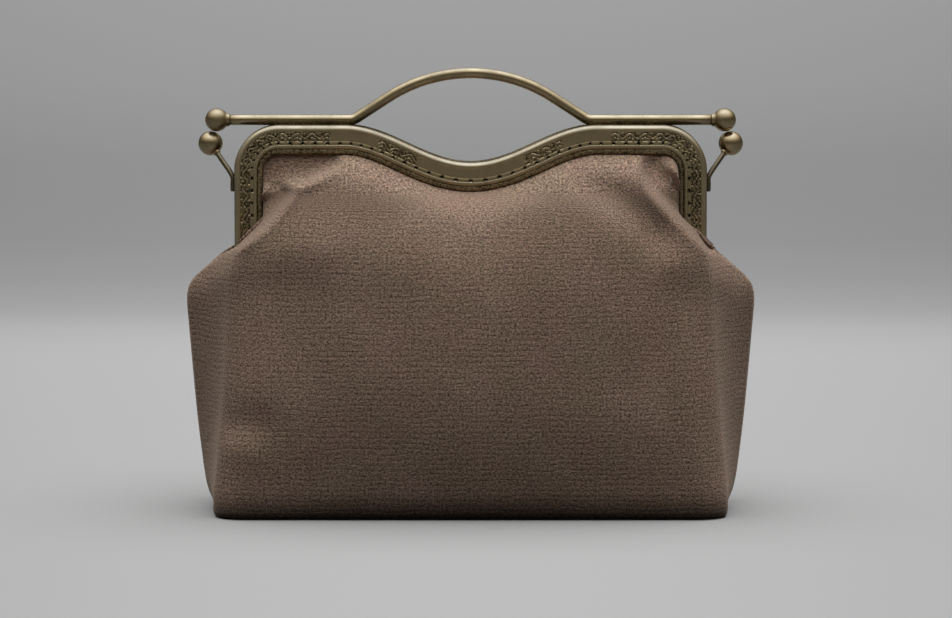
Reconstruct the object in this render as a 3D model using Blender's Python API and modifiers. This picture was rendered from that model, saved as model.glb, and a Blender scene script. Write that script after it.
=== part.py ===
"""Ribbed-velvet pouch on an antique-brass kiss-lock frame with an arched handle bar.

The pouch stands on the XY plane with its front towards -Y. All lengths are metres.
Two stamped channels turn about rivets at the lower ends of their legs. The front
channel carries the two clasp balls on short arms, and the back one carries the
handle bar, whose ball ends the clasp balls snap past.
"""

import math

import bmesh
import bpy
from mathutils import Matrix, Vector

# Frame halves
FRAME_HALF_WIDTH = 0.1000
FRAME_TOP_Z = 0.1642
HINGE_Z = 0.1020
CORNER_RADIUS = 0.0185
DIP_DEPTH = 0.0164
DIP_HALF_SPAN = 0.0540
FACE_WIDTH = 0.0117
CHANNEL_DEPTH = 0.0072
REAR_LIP_WIDTH = 0.0085
SHEET_THICKNESS = 0.0007
RIM_RADIUS = 0.0014
SEWING_HOLE_INSET = 0.0074
SEWING_HOLE_RADIUS = 0.00075
SEWING_HOLE_PITCH = 0.0053
SEWING_END_MARGIN = 0.0040

# Hinge
EAR_RADIUS = 0.0045
EAR_CLEARANCE = 0.0008
EAR_NECK_OVERLAP = 0.0015
EAR_SHEET = 0.0006
JOGGLE_HEIGHT = 0.0030
RIVET_RADIUS = 0.0015
RIVET_HEAD_RADIUS = 0.0030
RIVET_TAIL_RADIUS = 0.0025
RIVET_HEAD_THICKNESS = 0.0010
RIVET_CROWN_SHARE = 0.7
BORE_CLEARANCE = 0.0003

# Handle bar and kiss-lock
ROD_RADIUS = 0.00215
BAR_BALL_OVERHANG = 0.0085
BAR_BALL_X = FRAME_HALF_WIDTH + BAR_BALL_OVERHANG
ARCH_HALF_SPAN = 0.0500
ARCH_RISE = 0.0200
ARCH_FLANK_ANGLE = math.radians(33.0)
ARCH_BEND_RADIUS = 0.0060
BAR_Y = 0.0032
BAR_BALL_RADIUS = 0.00495
CLASP_BALL_RADIUS = 0.0052
CLASP_BALL_OFFSET = 0.0028
CLASP_BALL_X = BAR_BALL_X + CLASP_BALL_OFFSET
CLASP_BALL_DROP = 0.0101
CLASP_BALL_Y = 0.0040
ARM_RADIUS = 0.0011
ARM_FOOT_DROP = 0.0276
ARM_BEND_DROP = 0.0210
ARM_Y = -0.0037
ARM_FOOT_SHARE = 0.7
ARM_BEND_SHARE = 0.25
SOCKET_DEPTH = 0.0035

# Pouch
BASE_OVERHANG = 0.0080
BASE_HALF_WIDTH = FRAME_HALF_WIDTH + BASE_OVERHANG
BASE_HALF_DEPTH = 0.0400
BASE_CORNER_RADIUS = 0.0220
POUCH_OVERHANG = 0.0212
POUCH_HALF_WIDTH = FRAME_HALF_WIDTH + POUCH_OVERHANG
WIDEST_DROP = 0.0090
WIDEST_Z = HINGE_Z - WIDEST_DROP
POUCH_BULGE = 0.0270
PANEL_SPLIT_DROP = 0.0130
PANEL_SPLIT_Z = HINGE_Z - PANEL_SPLIT_DROP
VELVET_THICKNESS = 0.0012
INTERLINING_THICKNESS = 0.0012
LINING_THICKNESS = 0.0006
BOARD_THICKNESS = 0.0020
TUCK_INSET = 0.0055
MOUTH_GAP = 0.0038
STITCHING_END_RISE = 0.0220
STITCHING_END_Z = HINGE_Z + STITCHING_END_RISE
CLOTH_FRONT_GAP = 0.0012
LINING_SETBACK = 0.0063
LINING_HALF_WIDTH = FRAME_HALF_WIDTH - FACE_WIDTH - LINING_SETBACK

# Fits
SEAT_GAP = 0.0003
CUT_OVERRUN = 0.0010

# Fineness of the faceted solids
ROUND_SIDES = 14
HOLE_SIDES = 5
RIM_STEPS = 2
ROD_BEVEL = 3
BALL_SEGMENTS = 14
BALL_RINGS = 8
PANEL_COLUMNS = 18
PANEL_ROWS = 11

# How the panel's surface is drawn between its edges: plain exponents
SIDE_FADE = 10
BULGE_POWER = 2.5
SWELL_SKEW = 1.45
SWELL_POWER = 0.8

# The side seam from the base to its widest point, as shares of POUCH_HALF_WIDTH and WIDEST_Z
SIDE_SEAM_SHARES = (
    (0.925, 0.11),
    (0.957, 0.28),
    (0.979, 0.49),
    (0.993, 0.74),
    (1.000, 1.00),
)
# The shoulder from the widest point to the frame's mouth: how far in, how far up and how far
# forward it lies, as shares of the way from the side seam's top to the stitched edge
SHOULDER_SHARES = (
    (0.070, 0.18, 0.02),
    (0.270, 0.34, 0.45),
    (0.470, 0.55, 0.85),
    (0.580, 0.67, 1.00),
    (0.760, 0.84, 1.05),
    (0.950, 0.95, 1.00),
)
SHOULDER_FORWARD = 0.0098

BRASS = ("antique_brass", (0.36, 0.29, 0.16, 1.0), 0.38, 1.0)
VELVET = ("ribbed_velvet", (0.22, 0.17, 0.14, 1.0), 0.9, 0.0)
LINING = ("lining_cloth", (0.30, 0.25, 0.20, 1.0), 0.8, 0.0)
WADDING = ("interlining", (0.75, 0.73, 0.68, 1.0), 0.95, 0.0)
BOARD = ("base_board", (0.35, 0.30, 0.24, 1.0), 0.85, 0.0)


def clear_scene():
    """Remove what the scene starts with."""
    for item in list(bpy.data.objects):
        bpy.data.objects.remove(item)


def new_collection(name):
    """Make a collection under the scene's own."""
    collection = bpy.data.collections.new(name)
    bpy.context.scene.collection.children.link(collection)
    return collection


def material_for(node, finish):
    """Give a sub-part its own material in one of the finishes."""
    label, colour, roughness, metallic = finish
    material = bpy.data.materials.new(node + "_" + label)
    material.use_nodes = True
    shader = material.node_tree.nodes["Principled BSDF"]
    shader.inputs["Base Color"].default_value = colour
    shader.inputs["Roughness"].default_value = roughness
    shader.inputs["Metallic"].default_value = metallic
    return material


def add_part(node, mesh, finish, pivot=None):
    """Place a mesh modelled in world space as a named sub-part, turning about its pivot."""
    part = bpy.data.objects.new(node, mesh)
    PARTS.objects.link(part)
    mesh.materials.clear()
    mesh.materials.append(material_for(node, finish))
    if pivot is not None:
        mesh.transform(Matrix.Translation(-pivot))
        part.location = pivot
    return part


def mesh_from(bm, name):
    """Finish a bmesh: merge doubles, point the faces outwards and store it."""
    bmesh.ops.remove_doubles(bm, verts=bm.verts, dist=SEAT_GAP / 100)
    bmesh.ops.recalc_face_normals(bm, faces=bm.faces)
    mesh = bpy.data.meshes.new(name)
    bm.to_mesh(mesh)
    bm.free()
    return mesh


def mesh_of(item, name):
    """Read an object as its modifiers leave it, into a new mesh in world space."""
    graph = bpy.context.evaluated_depsgraph_get()
    graph.update()
    mesh = bpy.data.meshes.new_from_object(item.evaluated_get(graph))
    mesh.name = name
    mesh.transform(item.matrix_world)
    bm = bmesh.new()
    bm.from_mesh(mesh)
    bmesh.ops.remove_doubles(bm, verts=bm.verts, dist=SEAT_GAP / 100)
    bm.to_mesh(mesh)
    bm.free()
    return mesh


def shade_round(part):
    """Shade a round piece smooth, with its edges kept sharp."""
    part.data.shade_smooth()
    part.data.set_sharp_from_angle(angle=math.radians(40.0))


def cut_with(part, cutter_mesh, operation="DIFFERENCE"):
    """Cut, or join, a part with a mesh kept in the cutters' collection."""
    cutter = bpy.data.objects.new(part.name + "_cutter", cutter_mesh)
    CUTTERS.objects.link(cutter)
    cutter.hide_render = True
    cutter.display_type = "WIRE"
    boolean = part.modifiers.new(operation.lower(), "BOOLEAN")
    boolean.operation = operation
    boolean.solver = "EXACT"
    boolean.object = cutter
    return cutter


def rod_mesh(name, points, radius):
    """Sweep a round rod along points."""
    curve = bpy.data.curves.new(name + "_line", "CURVE")
    curve.dimensions = "3D"
    curve.bevel_depth = radius
    curve.bevel_resolution = ROD_BEVEL
    curve.use_fill_caps = True
    spline = curve.splines.new("POLY")
    spline.points.add(len(points) - 1)
    for spot, point in zip(spline.points, points):
        spot.co = (point[0], point[1], point[2], 1.0)
    guide = bpy.data.objects.new(name + "_line", curve)
    CUTTERS.objects.link(guide)
    mesh = mesh_of(guide, name)
    bpy.data.objects.remove(guide)
    return mesh


def cylinder_bm(radius, start, end, sides=ROUND_SIDES):
    """A capped cylinder from one point to another."""
    bm = bmesh.new()
    along = end - start
    turn = along.to_track_quat("Z", "Y").to_matrix().to_4x4()
    bmesh.ops.create_cone(
        bm,
        cap_ends=True,
        segments=sides,
        radius1=radius,
        radius2=radius,
        depth=along.length,
        matrix=Matrix.Translation((start + end) / 2) @ turn,
    )
    return bm


def dip_drop(x):
    """How far the frame's top line lies below its shoulders at x."""
    if abs(x) >= DIP_HALF_SPAN:
        return 0.0
    return DIP_DEPTH * (1.0 + math.cos(math.pi * x / DIP_HALF_SPAN)) / 2.0


def frame_line(foot_z, joggle=0.0, corner_steps=6, dip_steps=18):
    """The frame's outer edge in the XZ plane, from the left foot over the top to the right foot.

    A joggle sets the lowest stretch of each leg inwards, so that one half's ears pass
    inside the other's.
    """
    side = FRAME_HALF_WIDTH
    corner_x = side - CORNER_RADIUS
    corner_z = FRAME_TOP_Z - CORNER_RADIUS
    left = [Vector((-side + joggle, foot_z))]
    if joggle:
        joggle_z = HINGE_Z + EAR_RADIUS + EAR_CLEARANCE + JOGGLE_HEIGHT
        left.append(Vector((-side + joggle, joggle_z)))
        left.append(Vector((-side, joggle_z + JOGGLE_HEIGHT)))
    for step in range(corner_steps + 1):
        turn = math.pi / 2 * step / corner_steps
        along = Vector((-math.cos(turn), math.sin(turn)))
        left.append(Vector((-corner_x, corner_z)) + CORNER_RADIUS * along)
    half = [-DIP_HALF_SPAN * (1 - step * 2 / dip_steps) for step in range(dip_steps // 2)]
    left += [Vector((x, FRAME_TOP_Z - dip_drop(x))) for x in half]
    middle = [Vector((0.0, FRAME_TOP_Z - DIP_DEPTH))]
    right = [Vector((-point.x, point.y)) for point in reversed(left)]
    return left + middle + right


def channel_profile():
    """The stamped channel's outer face: front face, rounded rim and shorter rear lip.

    Each point is the distance in from the outer edge, and the depth behind the front face.
    """
    front_arc = []
    rear_arc = []
    for step in range(RIM_STEPS + 1):
        turn = math.pi / 2 * step / RIM_STEPS
        across = RIM_RADIUS * (1 - math.sin(turn))
        deep = RIM_RADIUS * (1 - math.cos(turn))
        front_arc.append((across, deep))
        rear_arc.append((across, CHANNEL_DEPTH - deep))
    return [(FACE_WIDTH, 0.0)] + front_arc + rear_arc[::-1] + [(REAR_LIP_WIDTH, CHANNEL_DEPTH)]


def channel_mesh(name, joggle, facing):
    """Sweep the channel's profile along the frame's edge and give it the sheet's thickness."""
    foot_z = HINGE_Z + EAR_RADIUS + EAR_CLEARANCE
    line = frame_line(foot_z, joggle)
    profile = bpy.data.curves.new(name + "_profile", "CURVE")
    spline = profile.splines.new("POLY")
    shape = channel_profile()
    spline.points.add(len(shape) - 1)
    for spot, (across, deep) in zip(spline.points, shape):
        spot.co = (across, deep, 0.0, 1.0)
    profile_guide = bpy.data.objects.new(name + "_profile", profile)
    CUTTERS.objects.link(profile_guide)
    path = bpy.data.curves.new(name + "_edge", "CURVE")
    path.dimensions = "2D"
    path.bevel_mode = "OBJECT"
    path.bevel_object = profile_guide
    spline = path.splines.new("POLY")
    spline.points.add(len(line) - 1)
    for spot, point in zip(spline.points, line):
        spot.co = (point.x, point.y, 0.0, 1.0)
    guide = bpy.data.objects.new(name + "_edge", path)
    CUTTERS.objects.link(guide)
    mesh = mesh_of(guide, name)
    bpy.data.objects.remove(guide)
    bpy.data.objects.remove(profile_guide)
    bm = bmesh.new()
    bm.from_mesh(mesh)
    bpy.data.meshes.remove(mesh)
    stand = Matrix(((1, 0, 0, 0), (0, 0, 1, 0), (0, 1, 0, 0), (0, 0, 0, 1)))
    bmesh.ops.transform(bm, matrix=stand, verts=bm.verts)
    for vert in bm.verts:
        vert.co.y = facing * (SEAT_GAP / 2 + CHANNEL_DEPTH - vert.co.y)
    return bm


def sewing_holes_mesh(name, joggle, facing):
    """The punches of the sewing holes: a row along the front wall, evenly about the middle."""
    line = frame_line(HINGE_Z + EAR_RADIUS + EAR_CLEARANCE, joggle)
    lengths = [0.0]
    for first, second in zip(line, line[1:]):
        lengths.append(lengths[-1] + (second - first).length)
    middle = lengths[-1] / 2
    each_side = int((middle - SEWING_END_MARGIN) / SEWING_HOLE_PITCH)
    front = facing * (SEAT_GAP / 2 + CHANNEL_DEPTH + CUT_OVERRUN)
    behind = facing * (SEAT_GAP / 2 + CHANNEL_DEPTH - SHEET_THICKNESS - CUT_OVERRUN)
    punches = bmesh.new()
    index = 0
    for number in range(-each_side, each_side + 1):
        goal = middle + number * SEWING_HOLE_PITCH
        while lengths[index + 1] < goal:
            index += 1
        share = (goal - lengths[index]) / (lengths[index + 1] - lengths[index])
        before = line[max(index - 1, 0)]
        after = line[min(index + 2, len(line) - 1)]
        ahead = (line[index + 1] - line[index]).normalized()
        turned = (ahead - (line[index] - before).normalized()) * (1 - share)
        turned += ((after - line[index + 1]).normalized() - ahead) * share
        along = (ahead + turned / 2).normalized()
        spot = line[index].lerp(line[index + 1], share)
        spot += SEWING_HOLE_INSET * Vector((along.y, -along.x))
        start = Vector((spot.x, behind, spot.y))
        end = Vector((spot.x, front, spot.y))
        punch = cylinder_bm(SEWING_HOLE_RADIUS, start, end, HOLE_SIDES)
        mesh = mesh_from(punch, name)
        punches.from_mesh(mesh)
        bpy.data.meshes.remove(mesh)
    return mesh_from(punches, name)


def panel_columns():
    """Even places across a panel, from its left seam to its right one."""
    return [2.0 * step / PANEL_COLUMNS - 1.0 for step in range(PANEL_COLUMNS + 1)]


def resample(points, count):
    """Place points evenly along a polyline."""
    lengths = [0.0]
    for first, second in zip(points, points[1:]):
        lengths.append(lengths[-1] + (second - first).length)
    result = []
    index = 0
    for step in range(count + 1):
        goal = lengths[-1] * step / count
        while index < len(points) - 2 and lengths[index + 1] < goal:
            index += 1
        span = lengths[index + 1] - lengths[index]
        share = (goal - lengths[index]) / span
        result.append(points[index].lerp(points[index + 1], share))
    return result


def base_line(corner_steps=8):
    """The base's front outline, from the left seam round the front to the right one."""
    corner_x = BASE_HALF_WIDTH - BASE_CORNER_RADIUS
    corner_y = BASE_HALF_DEPTH - BASE_CORNER_RADIUS
    left = [Vector((-BASE_HALF_WIDTH, 0.0, 0.0))]
    for step in range(corner_steps + 1):
        turn = math.pi / 2 * step / corner_steps
        across = corner_x + BASE_CORNER_RADIUS * math.cos(turn)
        deep = corner_y + BASE_CORNER_RADIUS * math.sin(turn)
        left.append(Vector((-across, -deep, 0.0)))
    return left + [Vector((-point.x, point.y, 0.0)) for point in reversed(left)]


def channel_line(inset):
    """A line along the front channel at an inset from its outer edge, at the cloth's depth."""
    depth = -(SEAT_GAP / 2 + CHANNEL_DEPTH - SHEET_THICKNESS - CLOTH_FRONT_GAP)
    outer = frame_line(STITCHING_END_Z)
    edge = []
    for index, point in enumerate(outer):
        before = outer[max(index - 1, 0)]
        after = outer[min(index + 1, len(outer) - 1)]
        along = (after - before).normalized()
        spot = point + inset * Vector((along.y, -along.x))
        edge.append(Vector((spot.x, depth, spot.y)))
    return edge


def side_line(stitched_end):
    """The panel's left edge: up the side seam, over the shoulder and to the stitched edge."""
    foot = Vector((-BASE_HALF_WIDTH, 0.0, VELVET_THICKNESS + SEAT_GAP))
    points = [foot]
    for width_share, height_share in SIDE_SEAM_SHARES:
        points.append(Vector((-POUCH_HALF_WIDTH * width_share, 0.0, WIDEST_Z * height_share)))
    top = points[-1]
    for inward, up, forward in SHOULDER_SHARES:
        across = top.x + (stitched_end.x - top.x) * inward
        height = top.z + (stitched_end.z - top.z) * up
        points.append(Vector((across, -SHOULDER_FORWARD * forward, height)))
    return points + [stitched_end]


def panel_points():
    """The front panel's outer surface, from the base to its edge tucked into the channel.

    It is a patch between the base's outline, the side seams and the channel's mouth. The
    sides' own course fades quickly across the panel, and the last row lies in the channel.
    """
    lift = Vector((0.0, 0.0, VELVET_THICKNESS + SEAT_GAP))
    bottom = [point + lift for point in resample(base_line(), PANEL_COLUMNS)]
    top = resample(channel_line(FACE_WIDTH + MOUTH_GAP), PANEL_COLUMNS)
    tucked = resample(channel_line(TUCK_INSET), PANEL_COLUMNS)
    left = resample(side_line(top[0]), PANEL_ROWS)
    rows = []
    for row in range(PANEL_ROWS + 1):
        t = row / PANEL_ROWS
        drawn_in = 1.0 - (1.0 - t) ** 2
        line = []
        for column, place in enumerate(panel_columns()):
            point = bottom[column].lerp(top[column], t)
            point.x = bottom[column].x + (top[column].x - bottom[column].x) * drawn_in
            side = left[row] - bottom[0].lerp(top[0], t)
            side.x = left[row].x - bottom[0].x - (top[0].x - bottom[0].x) * drawn_in
            from_left = ((1.0 - place) / 2.0) ** SIDE_FADE
            from_right = ((1.0 + place) / 2.0) ** SIDE_FADE
            point.x += side.x * (from_left - from_right)
            point.y += side.y * (from_left + from_right)
            point.z += side.z * (from_left + from_right)
            swell = math.sin(math.pi * t ** SWELL_SKEW) ** SWELL_POWER if row < PANEL_ROWS else 0.0
            point.y -= POUCH_BULGE * swell * (1.0 - abs(place) ** BULGE_POWER)
            line.append(point)
        rows.append(line)
    return rows + [tucked]


def panel_surface(facing):
    """The outer surface of one panel as an open sheet, facing -Y for the front one."""
    rows = panel_points()
    bm = bmesh.new()
    last_row = len(rows) - 1
    bmesh.ops.create_grid(bm, x_segments=PANEL_COLUMNS, y_segments=last_row, size=1.0)
    for vert in bm.verts:
        column = round((vert.co.x + 1.0) / 2.0 * PANEL_COLUMNS)
        row = round((vert.co.y + 1.0) / 2.0 * last_row)
        point = rows[row][column]
        vert.co = Vector((point.x, -facing * point.y, point.z))
    for face in bm.faces:
        face.normal_update()
    middle = min(bm.faces, key=lambda face: face.calc_center_median().length)
    if middle.normal.y * facing < 0:
        bmesh.ops.reverse_faces(bm, faces=bm.faces)
    bmesh.ops.triangulate(bm, faces=bm.faces, quad_method="FIXED")
    bm.normal_update()
    return bm


def trim(bm, origin, normal):
    """Cut away what lies on the normal's side of a plane, and close the cut."""
    geometry = bm.verts[:] + bm.edges[:] + bm.faces[:]
    result = bmesh.ops.bisect_plane(
        bm, geom=geometry, plane_co=origin, plane_no=normal, clear_outer=True, dist=SEAT_GAP / 100
    )
    edges = [item for item in result["geom_cut"] if isinstance(item, bmesh.types.BMEdge)]
    open_edges = [edge for edge in edges if edge.is_boundary]
    if open_edges:
        bmesh.ops.holes_fill(bm, edges=open_edges, sides=0)


def cloth_layer(name, facing, depth, thickness, cuts):
    """One layer of a panel: its surface set in by a depth, given a thickness and trimmed."""
    bm = panel_surface(facing)
    for vert in bm.verts:
        vert.co -= vert.normal * depth
    bm.normal_update()
    inner = {vert: vert.co - vert.normal * thickness for vert in bm.verts}
    copy = bmesh.ops.duplicate(bm, geom=bm.verts[:] + bm.edges[:] + bm.faces[:])
    pairs = copy["vert_map"]
    for vert, place in inner.items():
        pairs[vert].co = place
    outline = [edge for edge in bm.edges if edge.is_boundary]
    inner_faces = [item for item in copy["geom"] if isinstance(item, bmesh.types.BMFace)]
    bmesh.ops.reverse_faces(bm, faces=inner_faces)
    bmesh.ops.bridge_loops(bm, edges=outline)
    bmesh.ops.recalc_face_normals(bm, faces=bm.faces)
    for origin, normal in cuts:
        trim(bm, origin, normal)
    return mesh_from(bm, name)


def build_panels():
    """Velvet, interlining and lining of the front and the back."""
    hinge = Vector((0.0, 0.0, HINGE_Z))
    interlining_depth = VELVET_THICKNESS + SEAT_GAP
    lining_depth = interlining_depth + INTERLINING_THICKNESS + SEAT_GAP
    below = (Vector((0, 0, PANEL_SPLIT_Z - SEAT_GAP / 2)), Vector((0, 0, 1)))
    above = (Vector((0, 0, PANEL_SPLIT_Z + SEAT_GAP / 2)), Vector((0, 0, -1)))
    base = (Vector((0, 0, VELVET_THICKNESS + SEAT_GAP)), Vector((0, 0, -1)))
    left = (Vector((-LINING_HALF_WIDTH, 0, 0)), Vector((-1, 0, 0)))
    right = (Vector((LINING_HALF_WIDTH, 0, 0)), Vector((1, 0, 0)))
    for side, facing in (("front", -1), ("back", 1)):
        middle = (Vector((0, facing * SEAT_GAP / 2, 0)), Vector((0, -facing, 0)))
        layers = (
            ("_panel", 0.0, VELVET_THICKNESS, (middle, below), VELVET, None),
            ("_panel_top", 0.0, VELVET_THICKNESS, (middle, above), VELVET, hinge),
            ("_interlining", interlining_depth, INTERLINING_THICKNESS, (middle, below, base), WADDING, None),
            ("_lining", lining_depth, LINING_THICKNESS, (middle, below, base), LINING, None),
            ("_lining_top", interlining_depth, LINING_THICKNESS, (middle, above, left, right), LINING, hinge),
        )
        for suffix, depth, thickness, cuts, finish, pivot in layers:
            node = side + suffix
            mesh = cloth_layer(node, facing, depth, thickness, cuts)
            shade_round(add_part(node, mesh, finish, pivot))


def base_outline(inset):
    """The whole outline of the base, set in by a distance."""
    front = base_line()
    whole = front[:-1] + [Vector((-point.x, -point.y, 0.0)) for point in front[:-1]]
    across = 1.0 - inset / BASE_HALF_WIDTH
    deep = 1.0 - inset / BASE_HALF_DEPTH
    return [Vector((point.x * across, point.y * deep)) for point in whole]


def plate_mesh(name, outline, bottom, thickness):
    """A flat plate: a filled 2D outline, extruded by half its thickness each way."""
    curve = bpy.data.curves.new(name + "_outline", "CURVE")
    curve.dimensions = "2D"
    curve.fill_mode = "BOTH"
    curve.extrude = thickness / 2
    spline = curve.splines.new("POLY")
    spline.use_cyclic_u = True
    spline.points.add(len(outline) - 1)
    for spot, point in zip(spline.points, outline):
        spot.co = (point.x, point.y, 0.0, 1.0)
    guide = bpy.data.objects.new(name + "_outline", curve)
    guide.location.z = bottom + thickness / 2
    CUTTERS.objects.link(guide)
    bpy.context.view_layer.update()
    mesh = mesh_of(guide, name)
    bpy.data.objects.remove(guide)
    return mesh


def build_base():
    """Base panel, the board on it and the lining over the board."""
    wall = VELVET_THICKNESS + INTERLINING_THICKNESS + LINING_THICKNESS + 7 * SEAT_GAP
    board_z = VELVET_THICKNESS + SEAT_GAP
    lining_z = board_z + BOARD_THICKNESS + SEAT_GAP
    plates = (
        ("base_panel", 0.0, 0.0, VELVET_THICKNESS, VELVET),
        ("base_board", wall, board_z, BOARD_THICKNESS, BOARD),
        ("base_lining", wall, lining_z, LINING_THICKNESS, LINING),
    )
    for node, inset, bottom, thickness, finish in plates:
        add_part(node, plate_mesh(node, base_outline(inset), bottom, thickness), finish)


def ear_mesh(name, side, plane_x, facing):
    """A hinge ear: a disc about the rivet with a neck up into the leg's side wall."""
    neck_top = HINGE_Z + EAR_RADIUS + EAR_CLEARANCE + EAR_NECK_OVERLAP
    near = SEAT_GAP / 2 + EAR_CLEARANCE / 4
    far = SEAT_GAP / 2 + CHANNEL_DEPTH - RIM_RADIUS
    lower = -math.pi / 4
    outline = [Vector((far, neck_top)), Vector((near, neck_top))]
    arc_steps = ROUND_SIDES
    start = math.pi / 2
    sweep = 2 * math.pi + lower - start
    for step in range(arc_steps + 1):
        turn = start + sweep * step / arc_steps
        outline.append(Vector((EAR_RADIUS * math.cos(turn), HINGE_Z + EAR_RADIUS * math.sin(turn))))
    bm = bmesh.new()
    verts = [bm.verts.new((side * plane_x, facing * y, z)) for y, z in outline]
    face = bm.faces.new(verts)
    extruded = bmesh.ops.extrude_face_region(bm, geom=[face])
    moved = [item for item in extruded["geom"] if isinstance(item, bmesh.types.BMVert)]
    bmesh.ops.translate(bm, vec=Vector((-side * EAR_SHEET, 0, 0)), verts=moved)
    return mesh_from(bm, name)


def build_frame_half(node, facing, joggle):
    """One stamped channel with its two hinge ears, bored for the rivets."""
    bm = channel_mesh(node, joggle, facing)
    half = add_part(node, mesh_from(bm, node), BRASS, Vector((0.0, 0.0, HINGE_Z)))
    wall = half.modifiers.new("sheet", "SOLIDIFY")
    wall.thickness = SHEET_THICKNESS
    wall.offset = -1.0
    wall.use_even_offset = True
    plane_x = FRAME_HALF_WIDTH - joggle - (SHEET_THICKNESS - EAR_SHEET) / 2
    for side, label in ((-1, "_left"), (1, "_right")):
        ear = cut_with(half, ear_mesh(node + label + "_ear", side, plane_x, facing), "UNION")
        ear.name = node + label + "_ear"
    for side, label in ((-1, "_left"), (1, "_right")):
        reach = Vector((side * CUT_OVERRUN, 0, 0))
        start = Vector((side * (plane_x - EAR_SHEET), 0, HINGE_Z)) - reach
        end = Vector((side * plane_x, 0, HINGE_Z)) + reach
        bore = mesh_from(cylinder_bm(RIVET_RADIUS + BORE_CLEARANCE, start, end), node + label + "_bore")
        cut_with(half, bore)
    holes = cut_with(half, sewing_holes_mesh(node + "_sewing_holes", joggle, facing))
    holes.name = node + "_sewing_holes"
    shade_round(half)
    return half


def build_rivet(node, side, joggle):
    """A hinge rivet, turned about the hinge axis: head outside, tail inside."""
    outer = FRAME_HALF_WIDTH + SEAT_GAP
    inner = FRAME_HALF_WIDTH - joggle - SHEET_THICKNESS - SEAT_GAP
    edge = RIVET_HEAD_THICKNESS / 3
    profile = (
        (0.0, outer + RIVET_HEAD_THICKNESS),
        (RIVET_HEAD_RADIUS * RIVET_CROWN_SHARE, outer + RIVET_HEAD_THICKNESS - edge / 2),
        (RIVET_HEAD_RADIUS, outer + edge),
        (RIVET_HEAD_RADIUS, outer),
        (RIVET_RADIUS, outer),
        (RIVET_RADIUS, inner),
        (RIVET_TAIL_RADIUS, inner),
        (RIVET_TAIL_RADIUS, inner - edge),
        (RIVET_TAIL_RADIUS * RIVET_CROWN_SHARE, inner - RIVET_HEAD_THICKNESS + edge / 2),
        (0.0, inner - RIVET_HEAD_THICKNESS),
    )
    bm = bmesh.new()
    verts = [bm.verts.new((side * along, radius, HINGE_Z)) for radius, along in profile]
    edges = [bm.edges.new(pair) for pair in zip(verts, verts[1:])]
    bmesh.ops.spin(
        bm,
        geom=verts + edges,
        cent=Vector((0, 0, HINGE_Z)),
        axis=Vector((1, 0, 0)),
        angle=2 * math.pi,
        steps=ROUND_SIDES,
        use_merge=True,
    )
    part = add_part(node, mesh_from(bm, node), BRASS, Vector((0.0, 0.0, HINGE_Z)))
    shade_round(part)


def arc_points(centre, radius, start, end, steps):
    """Points on an arc in the XZ plane."""
    points = []
    for step in range(steps + 1):
        turn = start + (end - start) * step / steps
        points.append(centre + radius * Vector((math.cos(turn), math.sin(turn))))
    return points


def bar_line():
    """The handle bar's centre line in the XZ plane: flat, bend, flank, crown and back down."""
    level = FRAME_TOP_Z + SEAT_GAP + ROD_RADIUS
    flank = ARCH_FLANK_ANGLE
    end_x = BAR_BALL_X - BAR_BALL_RADIUS + SOCKET_DEPTH
    crown_radius = (ARCH_HALF_SPAN - ARCH_RISE / math.tan(flank)) / (
        math.sin(flank) - (1.0 - math.cos(flank)) / math.tan(flank)
    )
    crown = Vector((0.0, level + ARCH_RISE - crown_radius))
    bend_back = ARCH_BEND_RADIUS * math.tan(flank / 2)
    bend = Vector((-ARCH_HALF_SPAN - bend_back, level + ARCH_BEND_RADIUS))
    left = [Vector((-end_x, level))]
    left += arc_points(bend, ARCH_BEND_RADIUS, -math.pi / 2, -math.pi / 2 + flank, 4)
    left += arc_points(crown, crown_radius, math.pi / 2 + flank, math.pi / 2, 8)
    return left + [Vector((-point.x, point.y)) for point in reversed(left[:-1])]


def ball_mesh(name, centre, radius, socket_from, socket_radius):
    """A ball with a blind socket that takes the rod's or the arm's end."""
    bm = bmesh.new()
    bmesh.ops.create_uvsphere(
        bm,
        u_segments=BALL_SEGMENTS,
        v_segments=BALL_RINGS,
        radius=radius,
        matrix=Matrix.Translation(centre),
    )
    towards = (socket_from - centre).normalized()
    bottom = centre + towards * (radius - SOCKET_DEPTH - SEAT_GAP)
    mouth = centre + towards * (radius + CUT_OVERRUN)
    return mesh_from(bm, name), mesh_from(cylinder_bm(socket_radius, bottom, mouth), name + "_socket")


def build_ball(node, centre, radius, socket_from, rod_radius):
    """One ball of the kiss-lock, on its rod."""
    ball, socket = ball_mesh(node, centre, radius, socket_from, rod_radius + BORE_CLEARANCE)
    part = add_part(node, ball, BRASS)
    cut_with(part, socket)
    shade_round(part)


def build_handle():
    """The handle bar along the back half's top, with a ball on each end."""
    line = [Vector((point.x, BAR_Y, point.y)) for point in bar_line()]
    bar = add_part("handle_bar", rod_mesh("handle_bar", line, ROD_RADIUS), BRASS)
    shade_round(bar)
    level = line[0].z
    for side, label in ((-1, "left"), (1, "right")):
        centre = Vector((side * BAR_BALL_X, BAR_Y, level))
        build_ball("handle_ball_" + label, centre, BAR_BALL_RADIUS, Vector((0, BAR_Y, level)), ROD_RADIUS)


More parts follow.
